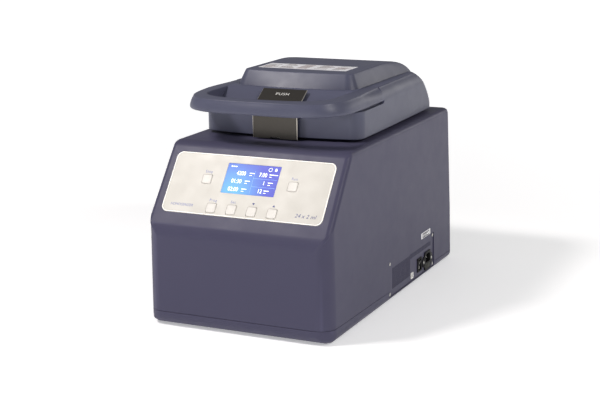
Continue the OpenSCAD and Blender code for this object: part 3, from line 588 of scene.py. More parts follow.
def brushed(name, color, roughness, stretch):
    """Brushed metal: long fine scratches along one axis and uneven gloss."""
    recipe = Recipe(name, color, roughness, 1.0)
    lines = recipe.noise(160, 6, 0.7, stretch)
    recipe.tint(lines, 0.82, 1.15)
    recipe.roughness_from(recipe.ramp(lines, roughness - 0.08, roughness + 0.12))
    recipe.bump(lines, 0.35, 0.00003)
    recipe.grain(0.05, 0.0004, 12, 3)
    return recipe.material


def turned(name, color, roughness):
    """Lathe-turned metal: fine rings about the chamber's vertical axis."""
    recipe = Recipe(name, color, roughness, 1.0)
    centre = place(0, CHAMBER_D, 0)
    rings = recipe.node("ShaderNodeTexWave", Scale=130, Distortion=0.4, Detail=2.0)
    rings.wave_type = "RINGS"
    rings.rings_direction = "Z"
    recipe.link(recipe.moved(Location=(-centre.x, -centre.y, 0)), rings.inputs["Vector"])
    value = rings.outputs["Fac"]
    recipe.roughness_from(recipe.ramp(value, roughness - 0.05, roughness + 0.06, 0, 1))
    recipe.cloud(0.93, 1.05, 30, 4)
    recipe.bump(value, 0.12, 0.00003)
    return recipe.material


def rubber(name, color=(0.018, 0.018, 0.020)):
    recipe = Recipe(name, color, 0.75)
    recipe.cloud(0.8, 1.5, 60, 4)
    recipe.gloss(-0.1, 0.1, 90, 3)
    recipe.grain(0.25, 0.00015, 700, 3)
    return recipe.material


def coated_steel(name, color, roughness=0.35, metallic=0.0):
    """Painted or zinc-plated sheet with slight orange peel and patchy spangle."""
    recipe = Recipe(name, color, roughness, metallic)
    recipe.tint(recipe.ramp(recipe.cells(220), 0.0, 1.0, 0.0, 0.8), 0.88, 1.08)
    recipe.gloss(-0.07, 0.08, 30, 4)
    recipe.grain(0.12, 0.0002, 300, 2)
    return recipe.material


def foam(name, color):
    """Foam with small open cells."""
    recipe = Recipe(name, color, 0.9)
    cells = recipe.cells(900)
    recipe.tint(cells, 0.75, 1)
    recipe.bump(cells, 0.6, 0.0005)
    return recipe.material


def circuit(name):
    """Green solder resist with lighter copper tracks under it."""
    base, track = (0.010, 0.085, 0.035), (0.03, 0.16, 0.06)
    recipe = Recipe(name, base, 0.35)
    bricks = recipe.node("ShaderNodeTexBrick", Scale=180.0, Mortar=(*track, 1), Mortar_Size=0.04)
    bricks.inputs["Color1"].default_value = (*base, 1)
    bricks.inputs["Color2"].default_value = (*shade(base, 1.3), 1)
    recipe.link(recipe.coords, bricks.inputs["Vector"])
    recipe.color_from(bricks.outputs["Color"])
    recipe.gloss(-0.07, 0.07, 120, 3)
    recipe.bump(bricks.outputs["Fac"], 0.2, 0.0001)
    return recipe.material


def clear_glass(name):
    recipe = Recipe(name, (0.9, 0.95, 0.95), 0.04)
    recipe.set(Transmission_Weight=1.0)
    recipe.gloss(-0.02, 0.04, 80, 3)
    return recipe.material


def picture(name):
    """Lit display face: royal blue above, with a painted highlight of paler cyan blue at the lower left."""
    deep, highlight_cyan = (0.010, 0.020, 0.34), (0.045, 0.26, 0.55)
    recipe = Recipe(name, (0.02, 0.06, 0.5), 0.35)
    recipe.set(Specular_IOR_Level=0.2)
    # Painted highlight: paler cyan blue that fades out from a point at the lower left of the screen.
    centre = on_panel(SCREEN_AT[0] - SCREEN_W * 0.32, SCREEN_AT[1] - SCREEN_H * 0.42, 0)
    highlight_spot = recipe.ramp(recipe.length(recipe.moved(Location=-centre)), 1, 0, 0.008, 0.062)
    mixed = recipe.node("ShaderNodeMath")
    mixed.operation = "MULTIPLY_ADD"
    mixed.inputs[1].default_value = 0.35
    recipe.link(recipe.noise(38, 4, 0.6), mixed.inputs[0])
    recipe.link(recipe.ramp(highlight_spot, -0.17, 0.83, 0, 1), mixed.inputs[2])
    recipe.glow(recipe.mix(mixed.outputs["Value"], deep, highlight_cyan), 0.6)
    recipe.grain(0.03, 0.00002, 2500, 1)
    return recipe.material


def glowing(name, color, strength):
    """Lit strokes on the display, a little uneven."""
    recipe = Recipe(name, color, 0.4)
    recipe.glow(recipe.mix(recipe.noise(900, 2), shade(color, 0.85), color), strength)
    return recipe.material


def ink(name, color):
    """Screen-printed ink: matt, slightly broken along its edges."""
    recipe = Recipe(name, color, 0.5)
    recipe.cloud(0.9, 1.15, 1200, 3)
    recipe.gloss(-0.1, 0.1, 500, 2)
    recipe.grain(0.1, 0.00005, 1500, 2)
    return recipe.material


LOOKS = {
    "housing_plastic": (moulded, (0.061, 0.058, 0.100)),
    "lid_plastic": (moulded, (0.070, 0.073, 0.114), 0.43, 1.42),
    "panel_cream": (fine_plastic, (0.555, 0.53, 0.475), 0.42),
    "key_grey": (fine_plastic, (0.72, 0.69, 0.64), 0.5, 1100),
    "window_clear": (clear_glass,),
    "screen_blue": (picture,),
    "circuit_green": (circuit,),
    "latch_steel": (brushed, (0.085, 0.078, 0.070), 0.36, (14, 14, 1)),
    "bright_steel": (brushed, (0.62, 0.61, 0.58), 0.25, (1, 8, 1)),
    "bowl_steel": (turned, (0.58, 0.58, 0.57), 0.3),
    "machined_aluminium": (turned, (0.62, 0.63, 0.65), 0.33),
    "frame_steel": (coated_steel, (0.45, 0.46, 0.48), 0.38, 0.9),
    "black_plastic": (fine_plastic, (0.008, 0.008, 0.008), 0.36, 700, 1.14),
    "black_rubber": (rubber,),
    "liner_white": (fine_plastic, (0.66, 0.66, 0.67), 0.45),
    "foam_beige": (foam, (0.72, 0.68, 0.55)),
    "copper_tube": (brushed, (0.70, 0.33, 0.20), 0.3, (1, 1, 12)),
    "machine_black": (coated_steel, (0.02, 0.02, 0.022)),
    "label_white": (fine_plastic, (0.80, 0.80, 0.82)),
    "fuse_glass": (clear_glass,),
}
MATERIALS = {name: make(name, *values) for name, (make, *values) in LOOKS.items()}
INK_BLUE = ink("ink_blue", (0.018, 0.030, 0.17))
INK_PALE = ink("ink_pale", (0.10, 0.13, 0.36))
INK_GREY = ink("ink_grey", (0.03, 0.03, 0.04))
INK_WHITE = ink("ink_white", (0.75, 0.74, 0.70))
LIT_WHITE = glowing("lit_white", (0.9, 0.95, 1.0), 1.0)
LIT_LINE = glowing("lit_line", (0.12, 0.30, 0.75), 0.7)
# Painted highlight: bright metal for the latch strap's bevelled edges.
EDGE_GLINT = brushed("painted_edge_glint", (0.75, 0.70, 0.62), 0.3, (1, 1, 12))
SOCKET_DARK = rubber("socket_dark", (0.006, 0.006, 0.006))


def dress_cad_nodes():
    """Gives every CAD node the material of its slot, and its edges a small radius."""
    for entry in frame["record"]["subparts"]:
        node = frame["nodes"][entry["node"]]
        node.data.materials.clear()
        node.data.materials.append(MATERIALS[entry["material_slot"]])
        weld = node.modifiers.new("weld", "WELD")
        weld.merge_threshold = 2e-6
        edge = node.modifiers.new("edge", "BEVEL")
        edge.width = 0.25 * MM
        edge.segments = 2
        edge.limit_method = "ANGLE"
        edge.angle_limit = math.radians(50)


# ---------------------------------------------------------------- housing


def housing_form(name, inset):
    """Closed outer form of the housing, shrunk by inset, from a cage with rounded edges."""
    profile = [
        (0, BODY_BOTTOM),
        (0, FOLD_Z),
        (SLOPE_RUN, BODY_TOP),
        (BODY_DEPTH - REAR_LEAN, BODY_TOP),
        (BODY_DEPTH, REAR_KNEE_Z),
        (BODY_DEPTH, BODY_BOTTOM),
    ]
    fold_turn = math.pi / 2 - SLOPE
    across = [19, 40 * math.tan(fold_turn / 2), 25 * math.tan(SLOPE / 2), 11, 0, 12]
    along = [28, 9, 9, 12, 12, 12]
    pairs = [(i, (i + 1) % len(profile)) for i in range(len(profile))]
    moved = []
    for i, j in pairs:
        (depth, z), before, after = profile[i], profile[i - 1], profile[j]
        a = Vector((depth - before[0], z - before[1])).normalized()
        b = Vector((after[0] - depth, after[1] - z)).normalized()
        inner = (Vector((a.y, -a.x)) + Vector((b.y, -b.x))).normalized()
        reach = inset / inner.dot(Vector((a.y, -a.x)))
        moved.append((depth + inner.x * reach, z + inner.y * reach))
    work = bmesh.new()
    weight = work.edges.layers.float.new("bevel_weight_edge")
    left, right = (
        [work.verts.new(place(s * (half_width(z) - inset), depth, z)) for depth, z in moved]
        for s in (-1, 1)
    )
    work.faces.new(left)
    work.faces.new(list(reversed(right)))
    widest = max(across + along)
    for i, j in pairs:
        work.faces.new((left[j], left[i], right[i], right[j]))
    work.edges.ensure_lookup_table()
    for i, j in pairs:
        between = work.edges.get((left[i], right[i]))
        between[weight] = max(across[i] - inset, 0) / widest if across[i] else 0
        for ring in (left, right):
            work.edges.get((ring[i], ring[j]))[weight] = max(along[i] - inset, 0.5) / widest
    bmesh.ops.recalc_face_normals(work, faces=work.faces)
    mesh = bpy.data.meshes.new(name)
    work.to_mesh(mesh)
    work.free()
    made = link_object(name, mesh)
    step = made.modifiers.new("round", "BEVEL")
    step.limit_method = "WEIGHT"
    step.width = widest * MM
    step.segments = 10
    step.use_clamp_overlap = False
    apply_modifiers(made)
    return made


def seam_block(name, gap, limit):
    """Block from a gap off the sloping parting line up or down to the limit."""
    reach, half = 50, 220
    drop = (SEAM_FRONT - SEAM_REAR) * reach / BODY_DEPTH
    ends = ((-reach, SEAM_FRONT + drop + gap), (BODY_DEPTH + reach, SEAM_REAR - drop + gap))
    return lofted(name, [
        [place(x, depth, z) for x, z in ((-half, seam), (half, seam), (half, limit), (-half, limit))]
        for depth, seam in ends
    ])


def plate_cutters():
    """Seat and window of the service plate, which cross the parting line."""
    seat = rounded(SERVICE_W + 0.8, SERVICE_H + 0.8, 4.4, SERVICE_AT, 8)
    window = rounded(SERVICE_W - 22, SERVICE_H - 6, 3, SERVICE_AT, 8)
    return [
        prism("plate_seat", seat(0), on_service, -1.5, 18),
        prism("plate_window", window(0), on_service, -20, 20),
    ]


def panel_cutters():
    middle = (0, PANEL_L / 2)
    seat = rounded(PANEL_W + 0.9, PANEL_L + 0.9, PANEL_R + 0.45, middle, 12)
    window = rounded(PANEL_W - 20, PANEL_L - 5, 6, middle, 12)
    return [
        prism("panel_seat", seat(0), on_panel, -2, 18),
        prism("panel_window", window(0), on_panel, -14, 6),
    ]


def vent_blocks():
    """Louvre slots with round ends through the rear wall and the left wall."""
    lowest, pitch, height, end_r = 62.25, 11, 4.5, 2.2
    rear_w, rear_x, side_w, side_depth, through = 100, 68, 130, 365, 20
    found = []
    for row in range(7):
        z = lowest + row * pitch
        for x in (-rear_x, rear_x):
            slot = rounded(rear_w, height, end_r, (x, z), 6)
            found.append(
                prism("vent", slot(0), rearward, BODY_DEPTH - through, BODY_DEPTH + through)
            )
        slot = rounded(side_w, height, end_r, (side_depth, z), 6)
        found.append(prism("vent", slot(0), sideways, -200, -140))
    return found


def make_housing_half(name, cutters, seam, edge, node):
    """Half of the housing on one side of the parting line, hollowed and cut open."""
    half = housing_form(name, 0)
    combine(half, [housing_form("hollow", WALL)] + cutters, "DIFFERENCE")
    combine(half, [seam], "INTERSECT")
    soften(half, edge, 2, 38)
    half.data.materials.append(MATERIALS["housing_plastic"])
    smooth(half, 20)
    even_normals(half)
    finish_piece(half, "housing", "housing_plastic", node)


def make_housing_shell():
    bore_r = 114.5
    round_hole = disc(bore_r, (0, CHAMBER_D), 96)
    bore = prism("bore", round_hole(0), place, BODY_TOP - 20, BODY_TOP + 20)
    cutters = [bore] + panel_cutters() + plate_cutters() + vent_blocks()
    make_housing_half("housing_shell", cutters, seam_block("above", 0.35, 400), 0.6, "body_shell")


def make_base():
    first, pitch, width, height, end_r = 182, 12, 120, 4, 1.9
    slots = [
        prism("slot", rounded(width, height, end_r, (0, first + i * pitch), 6)(0), place, -2, 20)
        for i in range(10)
    ]
    below = seam_block("below", -0.35, -60)
    make_housing_half("housing_base", plate_cutters() + slots, below, 0.7, "base_pan")


def make_feet():
    """Low rubber feet with a rounded rim and a grooved tread."""
    shape = Shape()
    top, sides = 2, 40
    profile = [(0, 0.3), (4, 0.3), (4.4, 0), (8, 0), (8.4, 0.4), (9.2, 0.4), (9.6, 0), (12.8, 0)]
    profile += [(13.7, 0.4), (14, 1.1), (14, top), (4, top + 6), (0, top + 6)]
    turns = [2 * math.pi * i / sides for i in range(sides)]
    for x in (-FOOT_X, FOOT_X):
        for depth in FOOT_DEPTHS:
            made = [
                shape.ring([place(x + r * math.cos(a), depth + r * math.sin(a), z) for r, z in profile])
                for a in turns
            ]
            for i in range(sides):
                shape.bridge(made[i], made[(i + 1) % sides], 0, closed=False)
    shape.piece("rubber_foot_pads", "housing", "black_rubber", "rubber_feet")


# ---------------------------------------------------------------- control panel


def make_fascia():
    """Cream overlay with a raised bright rim, a screen opening and key openings."""
    shape = Shape()
    middle = (0, PANEL_L / 2)
    rim, gap = 1.7, 0.45
    side = KEY_SIZE + 2 * gap
    outer = rounded(PANEL_W, PANEL_L, PANEL_R, middle, 12)
    rim_hole = rounded(PANEL_W - 2 * rim, PANEL_L - 2 * rim, PANEL_R - rim, middle, 12)
    holes = [rounded(SCREEN_W + 0.4, SCREEN_H + 0.4, 1.2, SCREEN_AT, 6, shrink=False)]
    holes += [rounded(side, side, 3.0, at, 6) for at in KEYS.values()]
    shape.plate(rim_hole, holes, -2, 0.4, on_panel, edge=0.25, mark=0)
    shape.plate(outer, [rim_hole], -2, 1.1, on_panel, edge=0.5, mark=1)
    bright = fine_plastic("panel_rim", (0.93, 0.90, 0.84), 0.3)
    fascia = shape.build("panel_overlay", [MATERIALS["panel_cream"], bright], 20)
    even_normals(fascia)
    finish_piece(fascia, "housing", "panel_cream", "panel_fascia")


def make_key(node, at):
    """Square key with soft edges and a dished top over a straight skirt."""
    shape = Shape()
    top, edge, dish = 1.7, 1.3, 0.45
    levels = [(-1.0, -2.1), (0, -2.1), (0, top - edge)]
    levels += [(edge * c, top - edge * (1 - s)) for c, s in quarter(5)]
    for inset in (2.0, 3.2, 4.6, 6.0, 7.4):
        sink = dish * (1 - ((KEY_SIZE / 2 - inset) / (KEY_SIZE / 2 - edge)) ** 2)
        levels.append((inset, top - sink))
    rings = []
    for inset, w in levels:
        side = KEY_SIZE - 2 * inset
        outline = shifted(round_rect(side, side, max(2.9 - inset * 0.55, 0.25), 6), *at)
        rings.append([on_panel(u, v, w) for u, v in outline])
    shape.loft(rings)
    shape.piece(node.replace("key_", "keycap_"), node, "key_grey", node, sharp=50)


def make_display_face():
    outline = rounded(SCREEN_W, SCREEN_H, 1, SCREEN_AT, 6, shrink=False)
    look = [MATERIALS["screen_blue"]]
    face = slab("display_face", outline, on_panel, -3, 0.1, 0.15, look, 20)
    even_normals(face)
    finish_piece(face, "housing", "screen_blue", "display_window")


def text_mesh(words, size, width_scale=1.0, shear=0.0, spacing=1.0):
    """Flat letter shapes in local millimetres, centred, as (vertices, faces)."""
    curve = bpy.data.curves.new("words", "FONT")
    curve.body = words
    curve.size = size
    curve.align_x = "CENTER"
    curve.align_y = "CENTER"
    curve.shear = shear
    curve.space_character = spacing
    curve.resolution_u = 3
    holder = link_object("words", curve)
    bpy.context.view_layer.update()
    graph = bpy.context.evaluated_depsgraph_get()
    mesh = bpy.data.meshes.new_from_object(holder.evaluated_get(graph))
    verts = [(v.co.x * width_scale, v.co.y) for v in mesh.vertices]
    faces = [tuple(p.vertices) for p in mesh.polygons]
    bpy.data.meshes.remove(mesh)
    bpy.data.objects.remove(holder)
    bpy.data.curves.remove(curve)
    return verts, faces


class Print:
    """Thin printed or lit marks on a flat place, joined into one piece."""

    def __init__(self, to_world, level, thickness=0.05):
        self.shape = Shape()
        self.to_world = to_world
        self.level = level
        self.thickness = thickness

    def words(self, text, at, size, mark=0, **style):
        verts, faces = text_mesh(text, size, **style)
        for level, flip in ((self.level, True), (self.level + self.thickness, False)):
            ring = self.shape.ring([self.to_world(at[0] + x, at[1] + y, level) for x, y in verts])
            for face in faces:
                corners = [ring[i] for i in face]
                self.shape.face(reversed(corners) if flip else corners, mark)
            if flip:
                base = ring
        edges = {}
        for face in faces:
            for i, a in enumerate(face):
                b = face[(i + 1) % len(face)]
                edges[(a, b)] = edges.get((a, b), 0) + 1
        for a, b in edges:
            if (b, a) not in edges:
                self.shape.face((base[a], base[b], ring[b], ring[a]), mark)

    def outline(self, points, mark=0):
        low = [self.to_world(x, y, self.level) for x, y in points]
        high = [self.to_world(x, y, self.level + self.thickness) for x, y in points]
        self.shape.loft([low, high], mark)

    def bar(self, at, w, h, mark=0, r=0.1):
        self.outline(shifted(round_rect(w, h, r, 3), *at), mark)

    def hoop(self, at, r, line, mark=0):
        low, high = self.level, self.level + self.thickness
        inner = disc(r - line, at, 28)
        self.shape.plate(disc(r, at, 28), [inner], low, high, self.to_world, edge=0, mark=mark)

    def piece(self, *names, materials):
        self.shape.piece(*names, materials=materials, sharp=30)


def make_display_picture():
    """Lit readouts: three rows and two columns of figures, thin dividers, small icons."""
    art = Print(on_panel, 0.1, 0.06)
    cx, cy = SCREEN_AT
    figure_size = 10.4
    rows = (cy + 9.8, cy - 4.6, cy - 19.0) * 2
    readouts = (
        ("4200", -20.5, 19.5, 9, 17.5),
        ("01:30", -25.5, 19.5, 9, 17.5),
        ("02:00", -27.5, 19.5, 9, 17.5),
        ("7.00", 19.0, 18.5, 15, 13.4),
        ("1", 24.0, 11.5, 9, 9.4),
        ("12", 20.5, 11.5, 9, 9.4),
    )
    for row, (figures, at, unit_at, unit_w, note_at) in zip(rows, readouts):
        art.words(figures, (cx + at, row), figure_size, width_scale=0.80)
        art.bar((cx + at + unit_at, row + 1.6), unit_w, 1.2)
        art.bar((cx + at + note_at, row - 2.4), 4.6, 0.8)
    for row in (cy + 2.8, cy - 11.8):
        art.bar((cx + 24, row), 43, 0.4, 1)
    art.bar((cx + 3.5, cy - 4.5), 0.4, 42, 1)
    for i, width in enumerate((3.0, 2.4, 2.8)):
        art.bar((cx - 40 + 3.7 * i, cy + 21.4), width, 1.7)
    art.hoop((cx + 29.5, cy + 20.2), 3.3, 0.6)
    art.bar((cx + 39.5, cy + 19.6), 3.8, 3.4, 0, 0.5)
    art.hoop((cx + 39.5, cy + 21.8), 1.5, 0.5)
    art.piece("display_readouts", "housing", "screen_blue", materials=[LIT_WHITE, LIT_LINE])


def make_panel_print():
    """Generic key words and arrows, a plain type word and a capacity figure."""
    art = Print(on_panel, 0.4, 0.04)
    gap, half, foot, tip = 13.6, 2.4, 1.9, 2.2
    words = {"key_stop": "Stop", "key_run": "Run", "key_program": "Prog", "key_set": "Set"}
    for node, word in words.items():
        u, v = KEYS[node]
        art.words(word, (u, v + gap), 6.6, 1, spacing=1.12)
    u, v = KEYS["key_down"]
    art.outline([(u, v + gap - tip), (u + half, v + gap + foot), (u - half, v + gap + foot)])
    u, v = KEYS["key_up"]
    art.outline([(u - half, v + gap - foot), (u + half, v + gap - foot), (u, v + gap + tip)])
    art.words("HOMOGENIZER", (-109, 14.2), 6.4, 2, width_scale=0.9, shear=0.25)
    art.words("24 x 2 ml", (113, 13.6), 9.4, 0, width_scale=1.02, shear=0.25)
    inks = [INK_BLUE, INK_PALE, INK_PALE]
    art.piece("panel_printing", "housing", "panel_cream", materials=inks)


# ---------------------------------------------------------------- service side


def make_service_plate():
    """Plate with vertical vent slots and openings for the inlet, switch and data port."""
    shape = Shape()
    openings = [(INLET_AT, 27.6, 30.6, 1.0), (ROCKER_AT, 19.6, 22.6, 1.0), (USB_AT, 12.6, 11.6, 0.6)]
    pitch, slot_w = 4, 1.8
    tall = [((270 + i * pitch, 40), 38) for i in range(22)]
    low = [((358 + i * pitch, 56), 9) for i in range(26)]
    openings += [(at, slot_w, height, slot_w / 2) for at, height in tall + low]
    holes = [rounded(w, h, r, at, least=0.2) for at, w, h, r in openings]
    corner = (SERVICE_AT[0] - SERVICE_W / 2 + 6, SERVICE_AT[1] - SERVICE_H / 2 + 5)
    holes.append(disc(1.7, corner, 16))
    outer = rounded(SERVICE_W, SERVICE_H, 4, SERVICE_AT, 6)
    shape.plate(outer, holes, -1.5, 0, on_service, edge=0.25)
    plate = shape.build("service_panel", [MATERIALS["housing_plastic"]], 20)
    even_normals(plate)
    finish_piece(plate, "housing", "housing_plastic", "service_plate")


def make_inlet():
    """Fused mains inlet: eared flange, chamfered socket, three blades."""
    depth, height = INLET_AT
    wings = rounded(48, 20, 6, INLET_AT, 8)
    flange = rounded(30, 34, 3, INLET_AT, 8)
    body = rounded(27, 30, 1, INLET_AT, 4, shrink=False)
    looks = [MATERIALS["black_plastic"], SOCKET_DARK]
    inlet = slab("mains_inlet", wings, on_service, 0, 2.0, 0.5, looks)
    added = [
        slab("flange", flange, on_service, 0, 2.1, 0.7),
        slab("body", body, on_service, -30, 1),
    ]
    combine(inlet, added, "UNION")
    socket = [(-12, -8), (12, -8), (12, 3.5), (7.5, 8), (-7.5, 8), (-12, 3.5)]
    cuts = [
        prism("socket", shifted(socket, depth, height + 5), on_service, -16, 6),
        prism("drawer_hole", rounded(24.4, 9.4, 0.6, DRAWER_AT)(0), on_service, -26, 6),
    ]
    for side in (-20, 20):
        seat = disc(3.4, (depth + side, height), 24)
        cuts.append(prism("screw_seat", seat(0), on_service, 0.9, 6))
    combine(inlet, cuts, "DIFFERENCE")
    soften(inlet, 0.35, 2, 40)
    smooth(inlet, 40)
    finish_piece(inlet, "housing", "black_plastic", "power_inlet")
    shape = Shape()
    for a, b in ((-7, 3), (0, 7), (7, 3)):
        pin = rounded(2, 4, 0.7, (depth + a, height + b), shrink=False)
        shape.plate(pin, [], -17, -3.5, on_service, edge=0.5)
    shape.piece("inlet_blades", "housing", "bright_steel", sharp=50)


def make_fuse_drawer():
    shape = Shape()
    front = rounded(24, 9, 0.9, DRAWER_AT, 4, shrink=False)
    grip = rounded(7, 1.6, 0.7, (DRAWER_AT[0], DRAWER_AT[1] + 2.4), shrink=False)
    shape.plate(front, [], -24, 1.9, on_service, edge=0.5)
    shape.plate(grip, [], 1.5, 2.15, on_service, edge=0.3)
    olive = fine_plastic("drawer_black", (0.018, 0.019, 0.011), 0.36, 700, 1.2)
    drawer = shape.build("fuse_drawer_front", [olive], 50)
    hollow = rounded(22, 5.8, 0.4, DRAWER_AT, 2)
    combine(drawer, [prism("hollow", hollow(0), on_service, -22, -14)], "DIFFERENCE")
    smooth(drawer, 40)
    finish_piece(drawer, "fuse_drawer", "black_plastic", "fuse_drawer")


def make_rocker():
    """Bezel and see-saw rocker with a hollow top and generic on and off marks."""
    shape = Shape()
    opening = rounded(13.4, 20, 0.8, ROCKER_AT, 4, shrink=False)
    body = rounded(19, 22, 1, ROCKER_AT, 4, shrink=False)
    shape.plate(rounded(22.5, 25.5, 2, ROCKER_AT, 6), [opening], 0, 1.7, on_service, edge=0.6)
    shape.plate(body, [opening], -18, 0, on_service, edge=0)
    shape.piece("switch_bezel", "housing", "black_plastic", "rocker_frame", sharp=50)

    tilt = math.radians(8)
    pivot, half = -8, 9

    def on_rocker(a, b, w):
        """a along depth, b up the rocker, w out from its pivot, leaned at rest."""
        return on_service(
            ROCKER_AT[0] + a,
            ROCKER_AT[1] + b * math.cos(tilt) - w * math.sin(tilt),
            pivot + b * math.sin(tilt) + w * math.cos(tilt),
        )

    def top(b):
        return 8.35 + 0.55 * (b / half) ** 2

    shape = Shape()
    side = [(b, top(b)) for b in (lerp(-half, half, i / 16) for i in range(17))]
    rings = []
    for a, drop in ((-6.5, 0.5), (-6.0, 0.0), (6.0, 0.0), (6.5, 0.5)):
        ring = [(b, w - drop) for b, w in side] + [(half - drop, -2), (-half + drop, -2)]
        rings.append([on_rocker(a, b, w) for b, w in ring])
    shape.loft(rings)
    shape.piece("switch_rocker", "power_rocker", "black_plastic", "power_rocker", sharp=50)

    art = Print(lambda a, b, w: on_rocker(a, b, top(b) + w), 0.02, 0.06)
    art.bar((0, 4.6), 0.9, 4.4)
    art.hoop((0, -4.6), 2.1, 0.6)
    art.piece("switch_marks", "power_rocker", "black_plastic", materials=[INK_WHITE])


def make_usb():
    """Square data port: bright shell, mouth and white tongue."""
    shape = Shape()
    shell = rounded(12, 11, 0.8, USB_AT, 4, shrink=False)
    mouth = rounded(8.6, 7.8, 1.4, USB_AT, 4, shrink=False)
    tongue = rounded(5.6, 3.2, 0.3, USB_AT, shrink=False)
    shape.plate(shell, [mouth], -10, 0.8, on_service, edge=0.3)
    shape.plate(tongue, [], -11, -3, on_service, edge=0.2, mark=1)
    shape.plate(shell, [], -16, -10, on_service, edge=0)
    looks = [coated_steel("usb_shell", (0.85, 0.84, 0.82), 0.28, 0.2), MATERIALS["label_white"]]
    shape.piece("data_port", "housing", "bright_steel", "usb_port", materials=looks, sharp=50)


def make_side_label():
    """Plain white film with generic dark bars on the side wall."""
    low, high = box_mm("rating_label")
    centre = ((low.y + high.y) / 2, (low.z + high.z) / 2)

    def on_side(a, b, w):
        x = half_width(centre[1] + b) + (w + 0.08)
        return place(x, centre[0] + a, centre[1] + b)

    art = Print(on_side, 0.0, 0.15)
    art.bar((0, 0), 47, 10.4, 0, 1.2)
    art.level, art.thickness = 0.15, 0.03
    art.bar((0.5, -0.3), 35, 8.2, 1)
    art.level = 0.18
    art.bar((0.5, -0.3), 31.5, 4.9, 0)
    art.level = 0.21
    for row, width in ((1.0, 26), (-1.4, 20)):
        art.bar((-1.0 - (26 - width) / 2, row), width, 1.2, 1)
    looks = [MATERIALS["label_white"], INK_GREY]
    art.piece("side_label", "housing", "label_white", "rating_label", materials=looks)


# ---------------------------------------------------------------- lid


def lid_rear_at(z):
    """Depth of the lid's rear at height z, which rolls forward towards the ridge."""
    t = min(max((z - ROLL_Z) / (RIDGE_Z - ROLL_Z), 0), 1)
    return LID_REAR - LID_ROLL * (1 - (1 - t ** ROLL_POWER) ** (1 / ROLL_POWER))


def tail(half, half_rear, start, rear, r, power, steps=10):
    """Right side, round rear corners and left side of an outline seen from above."""
    side = [(lerp(half, half_rear, t ** power), lerp(start, rear - r, t)) for t in (0.25, 0.5, 0.75)]
    corner = half_rear - r
    return (
        side
        + arc(corner, rear - r, r, 0, 90, steps)
        + arc(-corner, rear - r, r, 90, 180, steps)
        + [(-x, d) for x, d in reversed(side)]
    )


def bowed_outline(front, bow, half, r, half_rear, rear, r_rear, power=1, steps=10):
    """Outline from above: bowed front, round corners, sides that narrow to the rear."""
    flat = half - r
    corner_d = front + flat * flat / bow + r
    found = []
    for i in range(steps * 2 + 1):
        x = -flat * math.cos(math.pi * i / (steps * 2))
        found.append((x, front + x * x / bow))
    found += arc(flat, corner_d, r, -80, 0, steps)
    found += tail(half, half_rear, corner_d, rear, r_rear, power)
    found += arc(-flat, corner_d, r, 180, 260, steps)
    return found


def lid_outline(inset, rear=LID_REAR):
    half = LID_HALF_W - inset
    return bowed_outline(
        LID_FRONT + inset, LID_BOW, half, 24 - inset,
        half - LID_TAPER, rear - inset, LID_REAR_R - inset, 1.6,
    )


def superellipse(half, front, reach, power, steps):
    """Rounded front seen from above, from the left end of its curve to the right."""
    found = []
    for i in range(steps * 2 + 1):
        a = math.pi + math.pi * i / (steps * 2)
        c, s = math.cos(a), abs(math.sin(a))
        x = half * math.copysign(abs(c) ** (2 / power), c)
        found.append((x, front + reach * (1 - s ** (2 / power))))
    return found


def grip_outline(inset, rear):
    """Handle and shoulder from above: superellipse in front, straight tapered sides."""
    half = GRIP_HALF_W - inset
    front = GRIP_FRONT + inset
    r = LID_REAR_R - inset / 2
    curve = superellipse(half, front, GRIP_REACH, GRIP_POWER, 24)
    return curve + tail(half, half - LID_TAPER - 1, front + GRIP_REACH, rear, r, 1.6)


def shoulder_form(name):
    """Upper form of the lid: sides that curve in to a crisp ridge, rear that rolls down."""
    steps, edge = 14, 2.2
    rings = []
    for i in range(steps + 1):
        z = lerp(ARM_Z - 2, RIDGE_Z - edge, i / steps)
        rise = max((z - ARM_Z) / (RIDGE_Z - ARM_Z), 0)
        rings.append(((SHOULDER_R - 2) * rise ** 2.0, z))
    first = rings[-1][0]
    rings += [(first + edge * 1.2 * c, RIDGE_Z - edge * (1 - s)) for c, s in quarter(5)]
    return lofted(
        name, [[place(x, d, z) for x, d in grip_outline(i, lid_rear_at(z))] for i, z in rings]
    )


def lid_box(name, inset, z0, z1, foot=0.0):
    """Lower wall of the lid with a rounded bottom edge and a rear that rolls forward."""
    steps = 16
    start = max(z0 + foot + 0.5, ROLL_Z)
    rings = [(inset + foot * (1 - s), z0 + foot * c) for c, s in quarter(4, 0)[:-1]] if foot else []
    rings.append((inset, z0 + foot))
    rings += [(inset, lerp(start, z1, i / steps)) for i in range(steps + 1)]
    return lofted(
        name, [[place(x, d, z) for x, d in lid_outline(i, lid_rear_at(z))] for i, z in rings]
    )


def wedge(name, front, tilt, z):
    """Big block above a plane that rises backwards from (front, z)."""
    rise = math.tan(math.radians(tilt))
    corners = [(-60, -60 * rise), (150, 150 * rise), (150, 260), (-60, 260)]
    return prism(name, shifted(corners, front, z), sideways, -200, 200)


def cover_ring(t, z, grow=0.0):
    """Outline of the raised cover at t from its base (0) to its top (1), enlarged by grow."""
    rear = COVER_REAR - COVER_ROLL * (1 - max(1 - t ** COVER_POWER, 0) ** (1 / COVER_POWER))
    outline = bowed_outline(
        COVER_FRONT + 24 * t - grow, lerp(700, 1500, t),
        lerp(117, 101, t) + grow, lerp(26, 13, t) + grow,
        lerp(121, 101, t) + grow, rear + grow, lerp(16, 10, t) + grow,
    )
    return [place(x, d, z) for x, d in outline]


